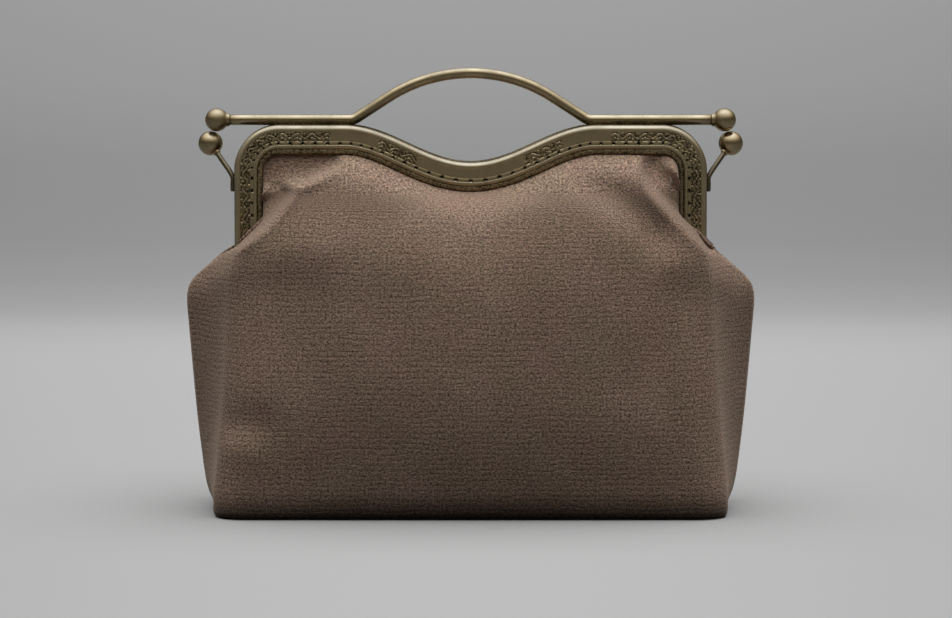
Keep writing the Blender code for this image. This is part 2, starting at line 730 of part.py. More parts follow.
def build_clasp():
    """The bent arms on the front half's legs, each with its ball."""
    bar_level = FRAME_TOP_Z + SEAT_GAP + ROD_RADIUS
    ball_z = bar_level - CLASP_BALL_DROP
    foot_x = FRAME_HALF_WIDTH + SEAT_GAP + ARM_RADIUS
    for side, label in ((-1, "left"), (1, "right")):
        centre = Vector((side * CLASP_BALL_X, CLASP_BALL_Y, ball_z))
        foot = Vector((side * foot_x, ARM_Y, FRAME_TOP_Z - ARM_FOOT_DROP))
        bend = Vector((side * foot_x, ARM_Y, FRAME_TOP_Z - ARM_BEND_DROP))
        reach = centre - bend
        soft = reach * ARM_BEND_SHARE
        end = centre - reach.normalized() * (CLASP_BALL_RADIUS - SOCKET_DEPTH)
        lower = foot.lerp(bend, ARM_FOOT_SHARE)
        middle = (lower + 2 * bend + bend + soft) / 4
        arm = rod_mesh("clasp_arm_" + label, [foot, lower, middle, bend + soft, end], ARM_RADIUS)
        shade_round(add_part("clasp_arm_" + label, arm, BRASS))
        build_ball("clasp_ball_" + label, centre, CLASP_BALL_RADIUS, bend, ARM_RADIUS)


clear_scene()
PARTS = new_collection("handbag")
CUTTERS = new_collection("handbag_cutters")
EAR_JOGGLE = SHEET_THICKNESS + SEAT_GAP
build_frame_half("front_frame", -1, 0.0)
build_frame_half("back_frame", 1, EAR_JOGGLE)
build_rivet("hinge_rivet_left", -1, EAR_JOGGLE)
build_rivet("hinge_rivet_right", 1, EAR_JOGGLE)
build_handle()
build_clasp()
build_panels()
build_base()
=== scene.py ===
"""Ribbed-velvet pouch on an antique-brass kiss-lock frame with an arched handle bar.

The looks of the bag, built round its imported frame: metres, +Z up, front towards -Y. The two
stamped frame halves, the bar, the clasp and the cloth are each a class of their own.
"""

import logging
import math
from dataclasses import dataclass, field, replace
from enum import Enum

import bmesh
import bpy
import numpy as np
from mathutils import Matrix, Vector


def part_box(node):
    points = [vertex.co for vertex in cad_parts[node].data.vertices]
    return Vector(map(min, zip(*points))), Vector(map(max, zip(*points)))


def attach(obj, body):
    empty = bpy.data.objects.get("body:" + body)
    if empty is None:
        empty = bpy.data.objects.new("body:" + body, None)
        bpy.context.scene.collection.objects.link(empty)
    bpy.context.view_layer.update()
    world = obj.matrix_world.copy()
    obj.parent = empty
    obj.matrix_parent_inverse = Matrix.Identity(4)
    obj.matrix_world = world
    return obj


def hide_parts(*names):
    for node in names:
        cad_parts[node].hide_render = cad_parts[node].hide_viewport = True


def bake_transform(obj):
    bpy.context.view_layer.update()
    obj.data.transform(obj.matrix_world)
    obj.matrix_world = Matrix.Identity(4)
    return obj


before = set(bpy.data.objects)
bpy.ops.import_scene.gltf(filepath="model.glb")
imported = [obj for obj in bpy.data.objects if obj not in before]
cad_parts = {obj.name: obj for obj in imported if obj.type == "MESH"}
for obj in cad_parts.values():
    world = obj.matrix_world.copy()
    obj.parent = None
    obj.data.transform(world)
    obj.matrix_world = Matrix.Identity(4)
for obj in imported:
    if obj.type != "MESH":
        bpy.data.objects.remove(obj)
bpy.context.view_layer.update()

LOG = logging.getLogger("handbag")

MM = 0.001
SEAT_GAP = 0.0003
VELVET_THICKNESS = 0.0012
LINING_THICKNESS = 0.0006
INTERLINING_THICKNESS = 0.0012
SHEET_METAL = 0.0007
MERGE_DISTANCE = 1e-6

Colour = tuple[float, float, float]
Fed = float | tuple[float, ...] | bpy.types.NodeSocket


class Facing(Enum):
    """Which side of the bag a piece belongs to, as the sign of its Y."""

    FRONT = -1
    BACK = 1

    @property
    def label(self) -> str:
        """The side's word in a piece's name."""
        return self.name.lower()

    @property
    def half(self) -> str:
        """The body that the side's frame half moves with."""
        return self.label + "_half"


class Side(Enum):
    """The left or right end of the bag, seen from the front, as the sign of its X."""

    LEFT = -1
    RIGHT = 1

    @property
    def label(self) -> str:
        """The side's word in a piece's name."""
        return self.name.lower()


# Curves and grids


def smoothstep(low: float, high: float, value: np.ndarray) -> np.ndarray:
    """Rise smoothly from 0 at low to 1 at high.

    Args:
        low: where the rise starts.
        high: where it ends.
        value: the values to map.

    Returns:
        The mapped values.
    """
    share = np.clip((np.asarray(value, float) - low) / (high - low), 0.0, 1.0)
    return share * share * (3.0 - 2.0 * share)


def bell(value: np.ndarray, centre: float, width: float) -> np.ndarray:
    """A soft bump of height 1 at the centre."""
    return np.exp(-((value - centre) / width) ** 2)


def travelled(points: np.ndarray) -> np.ndarray:
    """The distance along a polyline at each of its points."""
    return np.concatenate([[0.0], np.cumsum(np.linalg.norm(np.diff(points, axis=0), axis=1))])


def evenly(points: np.ndarray, count: int) -> np.ndarray:
    """Place points at even distances along a polyline.

    Args:
        points: the polyline, one point a row.
        count: how many stretches to cut it into.

    Returns:
        count + 1 points.
    """
    along = travelled(points)
    goals = np.linspace(0.0, along[-1], count + 1)
    return np.stack([np.interp(goals, along, axis) for axis in points.T], axis=1)


def rounded(points: np.ndarray, per_span: int) -> np.ndarray:
    """Run a smooth curve through a few points.

    Args:
        points: the points to pass through, one a row.
        per_span: how many stretches each span is cut into.

    Returns:
        The points of the smooth curve.
    """
    padded = np.vstack([2 * points[0] - points[1], points, 2 * points[-1] - points[-2]])
    curve = [points[0]]
    for before, start, end, after in zip(padded, padded[1:], padded[2:], padded[3:]):
        for step in range(1, per_span + 1):
            t = step / per_span
            curve.append(
                0.5 * (2 * start + (end - before) * t
                       + (2 * before - 5 * start + 4 * end - after) * t ** 2
                       + (3 * start - before - 3 * end + after) * t ** 3)
            )
    return np.array(curve)


def arc(centre: tuple[float, float], radius: float, start: float, end: float, count: int) -> np.ndarray:
    """Place points on a circular arc in a plane.

    Args:
        centre: the circle's centre.
        radius: its radius.
        start: the first point's angle, in radians.
        end: the last point's angle.
        count: how many points.

    Returns:
        The points, one a row.
    """
    turn = np.linspace(start, end, count)
    return np.stack([centre[0] + radius * np.cos(turn), centre[1] + radius * np.sin(turn)], axis=1)


def mirrored(left: np.ndarray) -> np.ndarray:
    """Add a plane line's mirror image in X, from the middle point that both share."""
    return np.vstack([left, left[-2::-1] * np.array([-1.0, 1.0])])


def grid_normals(points: np.ndarray) -> np.ndarray:
    """Unit normals of a grid of points, on the left of its rows seen along its columns.

    Args:
        points: an array of rows x columns x 3.

    Returns:
        An array of the same shape.
    """
    normal = np.cross(np.gradient(points, axis=1), np.gradient(points, axis=0))
    length = np.linalg.norm(normal, axis=2, keepdims=True)
    return normal / np.maximum(length, 1e-12)


# Pieces


def into_scene(name: str, data: bpy.types.ID) -> bpy.types.Object:
    """Make an object of a mesh, lamp or camera and put it into the scene.

    Args:
        name: the object's name.
        data: what it shows.

    Returns:
        The object, at the origin.
    """
    item = bpy.data.objects.new(name, data)
    bpy.context.scene.collection.objects.link(item)
    return item


def piece_from(bm: bmesh.types.BMesh, name: str, material: bpy.types.Material,
               sharp: float | None = None) -> bpy.types.Object:
    """Store a bmesh as a smooth-shaded piece at the origin.

    Args:
        bm: the shape, which is freed.
        name: the piece's name.
        material: its finish.
        sharp: the angle in degrees past which an edge stays sharp, or None.

    Returns:
        The new object.
    """
    mesh = bpy.data.meshes.new(name)
    bm.to_mesh(mesh)
    bm.free()
    mesh.materials.append(material)
    mesh.shade_smooth()
    if sharp is not None:
        mesh.set_sharp_from_angle(angle=math.radians(sharp))
    return into_scene(name, mesh)


def in_brass(pieces: list[bpy.types.Object], body: str) -> list[bpy.types.Object]:
    """Let pieces ride on a body.

    Args:
        pieces: the pieces.
        body: the body's name.

    Returns:
        The same pieces.
    """
    for piece in pieces:
        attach(piece, body)
    return pieces


def give_wall(piece: bpy.types.Object, thickness: float) -> None:
    """Give a sheet its thickness, behind its faces, with a Solidify modifier.

    Args:
        piece: the sheet.
        thickness: in metres.
    """
    wall = piece.modifiers.new("wall", "SOLIDIFY")
    wall.thickness = thickness
    wall.offset = -1.0
    wall.use_even_offset = False


def sheet_of_points(points: np.ndarray, uv: np.ndarray | None = None,
                    recess: np.ndarray | None = None, outward: int = 1) -> bmesh.types.BMesh:
    """Lay a grid over an array of points.

    Args:
        points: rows x columns x 3, in metres.
        uv: rows x columns x 2, in metres on the cloth, or None.
        recess: rows x columns, 1 deep in the stamping and 0 on its tops, above 0 also where shade is painted
            and below 0 where rubbed, or None.
        outward: -1 turns the faces over.

    Returns:
        The grid as a bmesh.
    """
    rows, columns = points.shape[:2]
    bm = bmesh.new()
    bmesh.ops.create_grid(bm, x_segments=columns - 1, y_segments=rows - 1, size=1.0)
    places = {}
    depth = bm.verts.layers.float.new("recess") if recess is not None else None
    for vert in bm.verts:
        column = round((vert.co.x + 1.0) / 2.0 * (columns - 1))
        row = round((vert.co.y + 1.0) / 2.0 * (rows - 1))
        places[vert] = (row, column)
        vert.co = points[row, column]
        if depth is not None:
            vert[depth] = float(recess[row, column])
    if uv is not None:
        layer = bm.loops.layers.uv.new("UVMap")
        for face in bm.faces:
            for loop in face.loops:
                loop[layer].uv = uv[places[loop.vert]]
    if outward < 0:
        bmesh.ops.reverse_faces(bm, faces=bm.faces)
    return bm


def new_verts(grown: list) -> list[bmesh.types.BMVert]:
    """The points among what an extrusion made."""
    return [item for item in grown if isinstance(item, bmesh.types.BMVert)]


def swept_rod(bm: bmesh.types.BMesh, line: np.ndarray, radii: np.ndarray, sides: int) -> None:
    """Sweep a ring along a line and close its ends.

    Args:
        bm: the bmesh that takes the rod.
        line: the centre line's points.
        radii: the radius at each point.
        sides: the ring's corners.
    """
    tangent = np.gradient(line, axis=0)
    start = Vector(tangent[0]).normalized()
    up = Vector((0.0, 0.0, 1.0))
    if abs(start.dot(up)) > 0.9:
        up = Vector((0.0, 1.0, 0.0))
    across = start.cross(up).normalized()
    ring = bmesh.ops.create_circle(bm, cap_ends=False, segments=sides, radius=1.0)["verts"]
    flat = [vert.co.copy() for vert in ring]
    loop = list(dict.fromkeys(edge for vert in ring for edge in vert.link_edges))
    ordered = list(ring)
    for step, (point, along, radius) in enumerate(zip(line, tangent, radii)):
        ahead = Vector(along).normalized()
        across = (across - ahead * across.dot(ahead)).normalized()
        second = ahead.cross(across)
        if step:
            grown = bmesh.ops.extrude_edge_only(bm, edges=loop)["geom"]
            fresh = new_verts(grown)
            loop = [item for item in grown if isinstance(item, bmesh.types.BMEdge)
                    and item.verts[0] in fresh and item.verts[1] in fresh]
            fresh_of = {edge.other_vert(vert): vert for vert in fresh for edge in vert.link_edges
                        if edge.other_vert(vert) in ordered}
            ordered = [fresh_of[vert] for vert in ordered]
        else:
            bmesh.ops.contextual_create(bm, geom=loop)
        for vert, spot in zip(ordered, flat):
            vert.co = Vector(point) + (across * spot.x + second * spot.y) * float(radius)
    bmesh.ops.contextual_create(bm, geom=loop)


def faces_out(bm: bmesh.types.BMesh) -> None:
    """Merge a closed shape's doubled points and turn every face outwards."""
    bmesh.ops.remove_doubles(bm, verts=bm.verts, dist=MERGE_DISTANCE)
    bmesh.ops.recalc_face_normals(bm, faces=bm.faces)


# Node work


class Graph:
    """A node tree that takes each node with its settings and inputs in one call."""

    def __init__(self, tree: bpy.types.NodeTree) -> None:
        """Work on a tree."""
        self.tree = tree

    def node(self, kind: str, inputs: dict | None = None, **settings: object) -> bpy.types.Node:
        """Add a node.

        Args:
            kind: the node's type name without the ShaderNode prefix.
            inputs: socket name or index to a value or another node's output.
            settings: the node's own properties.

        Returns:
            The node.
        """
        made = self.tree.nodes.new("ShaderNode" + kind)
        for key, value in settings.items():
            setattr(made, key, value)
        self.feed(made, inputs or {})
        return made

    def feed(self, node: bpy.types.Node, inputs: dict) -> None:
        """Link outputs to a node's sockets, or set the sockets' own values.

        Args:
            node: the node that takes them.
            inputs: socket name or index to a value or another node's output.
        """
        for key, value in inputs.items():
            socket = node.inputs[key]
            if isinstance(value, bpy.types.NodeSocket):
                self.tree.links.new(value, socket)
            elif socket.type == "RGBA":
                socket.default_value = (*value, 1.0)
            else:
                socket.default_value = value

    def math(self, operation: str, *values: Fed, clamp: bool = False) -> bpy.types.NodeSocket:
        """Work out a value with a Math node.

        Args:
            operation: the node's operation.
            values: one to three values.
            clamp: whether the result stays between 0 and 1.

        Returns:
            The node's output.
        """
        made = self.node("Math", dict(enumerate(values)), operation=operation, use_clamp=clamp)
        return made.outputs[0]

    def times(self, first: Fed, *others: Fed) -> bpy.types.NodeSocket:
        """Multiply two or more values."""
        for other in others:
            first = self.math("MULTIPLY", first, other)
        return first

    def plus(self, first: Fed, second: Fed) -> bpy.types.NodeSocket:
        """Add two values."""
        return self.math("ADD", first, second)

    def minus(self, first: Fed, second: Fed) -> bpy.types.NodeSocket:
        """Take the second value from the first."""
        return self.math("SUBTRACT", first, second)

    def over(self, first: Fed, second: Fed) -> bpy.types.NodeSocket:
        """Divide the first value by the second."""
        return self.math("DIVIDE", first, second)

    def ramp(self, value: Fed, low: float, high: float,
             start: float = 0.0, end: float = 1.0) -> bpy.types.NodeSocket:
        """Map a value smoothly from one range to another.

        Args:
            value: the value.
            low: the first end of its range.
            high: the other end.
            start: the result at low.
            end: the result at high.

        Returns:
            The mapped value.
        """
        inputs = {0: value, 1: low, 2: high, 3: start, 4: end}
        return self.node("MapRange", inputs, interpolation_type="SMOOTHSTEP").outputs[0]

    def noise(self, vector: Fed, scale: Fed, detail: float = 2.0, rough: float = 0.5) -> bpy.types.NodeSocket:
        """Add a noise texture.

        Args:
            vector: the place it is read at.
            scale: how fine it is.
            detail: how many finer layers it has.
            rough: how strong the finer layers are.

        Returns:
            Its value.
        """
        inputs = {"Vector": vector, "Scale": scale, "Detail": detail, "Roughness": rough}
        return self.node("TexNoise", inputs).outputs[0]

    def mix(self, share: Fed, first: Fed, second: Fed, blend: str = "MIX") -> bpy.types.NodeSocket:
        """Mix two colours.

        Args:
            share: how much of the second is taken.
            first: the first colour.
            second: the second colour.
            blend: the way of mixing.

        Returns:
            The mixed colour.
        """
        inputs = {0: share, 6: first, 7: second}
        return self.node("Mix", inputs, data_type="RGBA", blend_type=blend).outputs[2]

    def grey(self, tone: Fed) -> bpy.types.NodeSocket:
        """A grey of the given tone."""
        return self.node("CombineColor", {0: tone, 1: tone, 2: tone}).outputs[0]

    def place(self, kind: str = "Object") -> bpy.types.NodeSocket:
        """The surface's own coordinates."""
        return self.node("TexCoord").outputs[kind]

    def cloth_place(self) -> bpy.types.NodeSocket:
        """The piece's UV map, which is in metres on the cloth."""
        return self.node("UVMap", uv_map="UVMap").outputs[0]

    def axes(self, vector: Fed) -> bpy.types.bpy_prop_collection:
        """Split a vector into its X, Y and Z."""
        return self.node("SeparateXYZ", {0: vector}).outputs

    def group(self, tree: bpy.types.NodeTree, **inputs: Fed) -> bpy.types.bpy_prop_collection:
        """Add a node group and return its outputs."""
        return self.node("Group", inputs, node_tree=tree).outputs

    def bump(self, height: Fed, strength: float, distance: float) -> bpy.types.NodeSocket:
        """Add a bump from a height and return the bent normal."""
        return self.node("Bump", {"Height": height, "Strength": strength, "Distance": distance}).outputs[0]


def new_group(name: str, inputs: dict[str, float | None],
              outputs: tuple[str, ...]) -> tuple[Graph, dict, bpy.types.Node]:
    """Start a shader node group with named sockets.

    Args:
        name: the group's name.
        inputs: name to default value, or to None for a vector.
        outputs: the names of the values that it puts out.

    Returns:
        The group's graph, its input sockets by name and its output node.
    """
    tree = bpy.data.node_groups.new(name, "ShaderNodeTree")
    for label, value in inputs.items():
        kind = "NodeSocketVector" if value is None else "NodeSocketFloat"
        socket = tree.interface.new_socket(label, in_out="INPUT", socket_type=kind)
        if value is not None:
            socket.default_value = value
    for label in outputs:
        tree.interface.new_socket(label, in_out="OUTPUT", socket_type="NodeSocketFloat")
    entry = tree.nodes.new("NodeGroupInput")
    leave = tree.nodes.new("NodeGroupOutput")
    return Graph(tree), {label: entry.outputs[label] for label in inputs}, leave


def grain_group() -> bpy.types.NodeTree:
    """Fine scratches and blotches of handled metal.

    Returns:
        A group that puts out a blotch mask and a height.
    """
    graph, given, leave = new_group(
        "metal_grain",
        {"Place": None, "Blotch Scale": 60.0, "Scratch Scale": 900.0},
        ("Blotch", "Height"),
    )
    blotch = graph.noise(given["Place"], given["Blotch Scale"], detail=6.0, rough=0.65)
    scratch = graph.noise(given["Place"], given["Scratch Scale"], detail=3.0)
    graph.feed(leave, {"Blotch": graph.ramp(blotch, 0.35, 0.68), "Height": graph.plus(scratch, blotch)})
    return graph.tree


def rib_group() -> bpy.types.NodeTree:
    """Fine broken ribs across a piled cloth, on its own UV map in metres.

    Returns:
        A group that puts out the grooves' mask, the pile's grain and a height.
    """
    row_shift = 7.31
    pile_stretch = 0.8
    pile_height = 0.8
    fade_top, fade_bottom = 0.160, 0.105
    graph, given, leave = new_group(
        "broken_ribs",
        {"UV": None, "Rib Pitch": 0.0023, "Dash Length": 0.0036, "Wobble": 0.42},
        ("Groove", "Grain", "Height"),
    )
    across, up, _ = graph.axes(given["UV"])
    drift = graph.noise(given["UV"], 70.0, detail=3.0)
    wobble = graph.times(graph.minus(drift, 0.5), graph.times(given["Wobble"], 4.0))
    rib = graph.plus(graph.over(up, given["Rib Pitch"]), wobble)
    row = graph.math("FLOOR", rib)
    from_crest = graph.math("ABSOLUTE", graph.minus(graph.math("FRACT", rib), 0.5))
    groove = graph.ramp(from_crest, 0.20, 0.48)
    dash_along = graph.over(across, given["Dash Length"])
    dash_place = graph.node("CombineXYZ", {0: dash_along, 1: graph.times(row, row_shift)}).outputs[0]
    dash = graph.ramp(graph.noise(dash_place, 1.0, detail=3.0, rough=0.65), 0.47, 0.64)
    pile_place = graph.node("CombineXYZ", {0: graph.times(across, pile_stretch), 1: up}).outputs[0]
    pile = graph.noise(pile_place, 1300.0, rough=0.80)
    worn = graph.ramp(up, fade_top, fade_bottom, 0.15, 1.0)
    crest = graph.minus(1.0, graph.times(groove, graph.ramp(dash, 0.0, 1.0, 0.20, 0.75)))
    graph.feed(leave, {
        "Groove": graph.times(groove, dash, worn),
        "Grain": pile,
        "Height": graph.plus(crest, graph.times(pile, pile_height)),
    })
    return graph.tree


def weave_group() -> bpy.types.NodeTree:
    """A plain weave of crossing threads, on a UV map in metres.

    Returns:
        A group that puts out a thread mask and a height.
    """
    graph, given, leave = new_group(
        "plain_weave",
        {"UV": None, "Thread Pitch": 0.0006},
        ("Thread", "Height"),
    )
    waves = []
    for axis in graph.axes(given["UV"])[:2]:
        turns = graph.over(axis, given["Thread Pitch"])
        waves.append(graph.math("SINE", graph.times(turns, 2.0 * math.pi)))
    cross = graph.times(*waves)
    slub = graph.noise(given["UV"], 400.0)
    graph.feed(leave, {"Thread": graph.times(graph.ramp(cross, -1.0, 1.0), slub), "Height": cross})
    return graph.tree


# Finishes


@dataclass(frozen=True)
class Finish:
    """A named finish, which makes its own node material."""

    name: str

    def make(self) -> bpy.types.Material:
        """Build the material.

        Returns:
            The material, with its Principled shader dressed.
        """
        material = bpy.data.materials.new(self.name)
        material.use_nodes = True
        graph = Graph(material.node_tree)
        graph.feed(material.node_tree.nodes["Principled BSDF"], self.sockets(graph))
        return material

    def sockets(self, graph: Graph) -> dict[str, Fed]:
        """What the Principled shader's sockets take; each finish has its own."""
        raise NotImplementedError


@dataclass(frozen=True)
class AntiqueBrass(Finish):
    """Brass browned in its recesses and rubbed bright on its edges; where stamped, it also takes painted
    shade from its recess attribute.
    """

    groups: dict
    bright: Colour = (0.42, 0.34, 0.20)
    worn: Colour = (0.41, 0.35, 0.235)
    # The dark colour serves both the patina and, where stamped, the painted shade.
    tarnish_and_painted_shade: Colour = (0.036, 0.027, 0.012)
    roughness: float = 0.20
    stamped: bool = False
    blotch_browning: float = 0.30
    blotch_dulling: float = 0.22
    recess_dulling: float = 0.30
    mottle_scale: float = 1150.0
    mottle_swing: float = 0.5
    rubbed_share: float = 0.85

    def sockets(self, graph: Graph) -> dict[str, Fed]:
        """Brown the metal in blotches and, where stamped, by its recess attribute, which also holds painted
        shade.

        Args:
            graph: the material's nodes.

        Returns:
            The Principled shader's inputs.
        """
        place = graph.place()
        grain = graph.group(self.groups["grain"], Place=place)
        blotch = grain["Blotch"]
        dark = graph.times(blotch, self.blotch_dulling)
        base = graph.mix(graph.times(blotch, self.blotch_browning), self.bright, self.tarnish_and_painted_shade)
        if self.stamped:
            recess = graph.node("Attribute", attribute_name="recess").outputs["Fac"]
            speckle = graph.noise(place, self.mottle_scale, detail=3.0, rough=0.6)
            mottle = graph.ramp(speckle, 0.36, 0.64, -self.mottle_swing, self.mottle_swing)
            mottle = graph.times(mottle, graph.ramp(recess, 0.08, 0.26))
            # depth carries the stamping's patina and the painted shade on the channel's outer wall, its rear
            # and under the bead.
            depth = graph.math("MULTIPLY_ADD", mottle, 1.0, graph.ramp(recess, 0.10, 0.74), clamp=True)
            uneven = graph.times(depth, graph.ramp(blotch, 0.0, 1.0, 0.80, 1.0))
            base = graph.mix(uneven, base, self.tarnish_and_painted_shade)
            rubbed = graph.times(graph.ramp(recess, 0.02, -0.28), self.rubbed_share)
            base = graph.mix(rubbed, base, self.worn)
            dark = graph.plus(dark, graph.times(depth, self.recess_dulling))
        return {
            "Base Color": base,
            "Metallic": 1.0,
            "Roughness": graph.plus(dark, self.roughness),
            "Normal": graph.bump(grain["Height"], strength=0.10, distance=0.0001),
        }


@dataclass(frozen=True)
class RibbedVelvet(Finish):
    """Taupe velvet with fine broken ribs, a soft grain and a nap that catches light."""

    groups: dict
    pile: Colour = (0.285, 0.198, 0.146)
    groove: Colour = (0.080, 0.052, 0.036)
    rubbed: Colour = (0.385, 0.272, 0.212)
    olive_cast: Colour = (0.985, 1.01, 0.97)
    rosy_cast: Colour = (1.02, 0.985, 0.99)
    nap_share: float = 0.40
    groove_share: float = 0.34
    patch_scale: float = 30.0
    cast_scale: float = 47.0
    fleck_scale: float = 560.0
    # Painted shade over the lowest stretch of the cloth: its height and the level it reaches at the base.
    painted_base_shade_height: float = 0.0130
    painted_base_shade_level: float = 0.2

    def sockets(self, graph: Graph) -> dict[str, Fed]:
        """Shade the pile by its ribs, grain and nap, and paint shade over the lowest stretch of the cloth,
        darker towards the base.

        Args:
            graph: the material's nodes.

        Returns:
            The Principled shader's inputs.
        """
        uv = graph.cloth_place()
        ribs = graph.group(self.groups["ribs"], UV=uv)
        nap = graph.ramp(graph.noise(uv, self.patch_scale, detail=3.0, rough=0.6), 0.40, 0.68)
        base = graph.mix(graph.times(nap, self.nap_share), self.pile, self.rubbed)
        cast = graph.ramp(graph.noise(uv, self.cast_scale, detail=3.0, rough=0.6), 0.36, 0.64)
        base = graph.mix(1.0, base, graph.mix(cast, self.olive_cast, self.rosy_cast), "MULTIPLY")
        shade = graph.ramp(ribs["Grain"], 0.35, 0.65, 0.38, 1.55)
        fleck = graph.ramp(graph.noise(uv, self.fleck_scale, rough=0.75), 0.34, 0.66, 0.86, 1.12)
        # Painted shade: the cloth is drawn darker over its lowest stretch, down to the set level at the base.
        painted_base_shade = graph.ramp(graph.axes(graph.place())[2], 0.0, self.painted_base_shade_height, self.painted_base_shade_level, 1.0)
        base = graph.mix(1.0, base, graph.grey(graph.times(shade, fleck, painted_base_shade)), "MULTIPLY")
        return {
            "Base Color": graph.mix(graph.times(ribs["Groove"], self.groove_share), base, self.groove),
            "Roughness": 0.92,
            "Specular IOR Level": 0.12,
            "Sheen Weight": 0.32,
            "Sheen Roughness": 0.45,
            "Sheen Tint": (0.86, 0.72, 0.60),
            "Normal": graph.bump(ribs["Height"], strength=0.40, distance=0.0004),
        }


@dataclass(frozen=True)
class WovenCloth(Finish):
    """A plain-woven cotton, for the lining."""

    groups: dict
    light: Colour = (0.46, 0.38, 0.30)
    dark: Colour = (0.30, 0.24, 0.18)

    def sockets(self, graph: Graph) -> dict[str, Fed]:
        """Lay the weave on the piece's UV map.

        Args:
            graph: the material's nodes.

        Returns:
            The Principled shader's inputs.
        """
        weave = graph.group(self.groups["weave"], UV=graph.cloth_place())
        return {
            "Base Color": graph.mix(graph.ramp(weave["Thread"], 0.1, 0.5), self.dark, self.light),
            "Roughness": 0.75,
            "Sheen Weight": 0.15,
            "Normal": graph.bump(weave["Height"], strength=0.4, distance=0.0001),
        }


@dataclass(frozen=True)
class TwistedThread(Finish):
    """Pale waxed thread with a fine twist."""

    light: Colour = (0.80, 0.72, 0.55)
    dark: Colour = (0.46, 0.39, 0.27)
    twist_scale: float = 700.0

    def sockets(self, graph: Graph) -> dict[str, Fed]:
        """Band the thread by its twist.

        Args:
            graph: the material's nodes.

        Returns:
            The Principled shader's inputs.
        """
        inputs = {"Vector": graph.place(), "Scale": self.twist_scale, "Distortion": 2.0}
        twist = graph.node("TexWave", inputs, bands_direction="DIAGONAL").outputs["Fac"]
        return {
            "Base Color": graph.mix(twist, self.dark, self.light),
            "Roughness": 0.6,
            "Normal": graph.bump(twist, strength=0.4, distance=0.0001),
        }


@dataclass(frozen=True)
class GreyCard(Finish):
    """Grey bookbinder's board with a fibrous surface."""

    light: Colour = (0.36, 0.33, 0.29)
    dark: Colour = (0.25, 0.23, 0.20)
    fibre_scale: float = 700.0

    def sockets(self, graph: Graph) -> dict[str, Fed]:
        """Mottle the board by its fibres.

        Args:
            graph: the material's nodes.

        Returns:
            The Principled shader's inputs.
        """
        fibre = graph.noise(graph.place(), self.fibre_scale, detail=5.0, rough=0.7)
        return {
            "Base Color": graph.mix(graph.ramp(fibre, 0.3, 0.7), self.dark, self.light),
            "Roughness": 0.9,
            "Normal": graph.bump(fibre, strength=0.3, distance=0.0002),
        }


@dataclass(frozen=True)
class SweepPaper(Finish):
    """Pale paper whose grey follows the slope at which each spot lies below the viewpoint; the darker greys
    far off and to the sides are painted shade.
    """

    reach: float
    height: float
    painted_shade_levels: tuple[tuple[float, float], ...] = (
        (0.0315, 0.342), (0.0487, 0.323), (0.0658, 0.287), (0.0744, 0.286), (0.0830, 0.294),
        (0.0915, 0.328), (0.0980, 0.386), (0.1022, 0.462), (0.1055, 0.494), (0.1087, 0.504),
        (0.1300, 0.496), (0.1500, 0.488),
    )
    lit_level: float = 1.2
    nearest: float = 0.3
    painted_side_shade: float = 7.0
    most_painted_side_shade: float = 0.3
    bounce: float = 0.05
    mirrored_share: float = 0.46

    def sockets(self, graph: Graph) -> dict[str, Fed]:
        """Grade the paper outwards from the bag with painted shade, darker far off and to the sides, dim
        where only its bounce light is seen.

        Args:
            graph: the material's nodes.

        Returns:
            The Principled shader's inputs.
        """
        x, y, _ = graph.axes(graph.place())
        ahead = graph.math("MAXIMUM", graph.plus(y, self.reach), self.nearest)
        first, last = self.painted_shade_levels[0][0], self.painted_shade_levels[-1][0]
        # The greys fall off into painted shade far from the bag.
        sunk = graph.over(graph.minus(graph.over(self.height, ahead), first), last - first)
        grade = graph.node("ValToRGB", {0: sunk})
        stops = grade.color_ramp.elements
        for slope, level in self.painted_shade_levels:
            share = (slope - first) / (last - first)
            stop = {0.0: stops[0], 1.0: stops[-1]}.get(share) or stops.new(share)
            stop.position = share
            stop.color = (level, level, level, 1.0)
        # Painted shade darkens the paper towards the sides.
        aside = graph.over(x, ahead)
        falloff = graph.times(aside, aside, self.painted_side_shade)
        kept = graph.minus(1.0, graph.math("MINIMUM", falloff, self.most_painted_side_shade))
        tone = graph.over(graph.times(grade.outputs[0], kept), self.lit_level)
        rays = graph.node("LightPath").outputs
        seen = graph.math("MULTIPLY_ADD", rays["Is Camera Ray"], 1.0 - self.bounce, self.bounce)
        seen = graph.math("MULTIPLY_ADD", rays["Is Glossy Ray"], self.mirrored_share, seen)
        return {
            "Base Color": graph.grey(graph.times(tone, seen)),
            "Roughness": 1.0,
            "Specular IOR Level": 0.0,
        }


# The studio


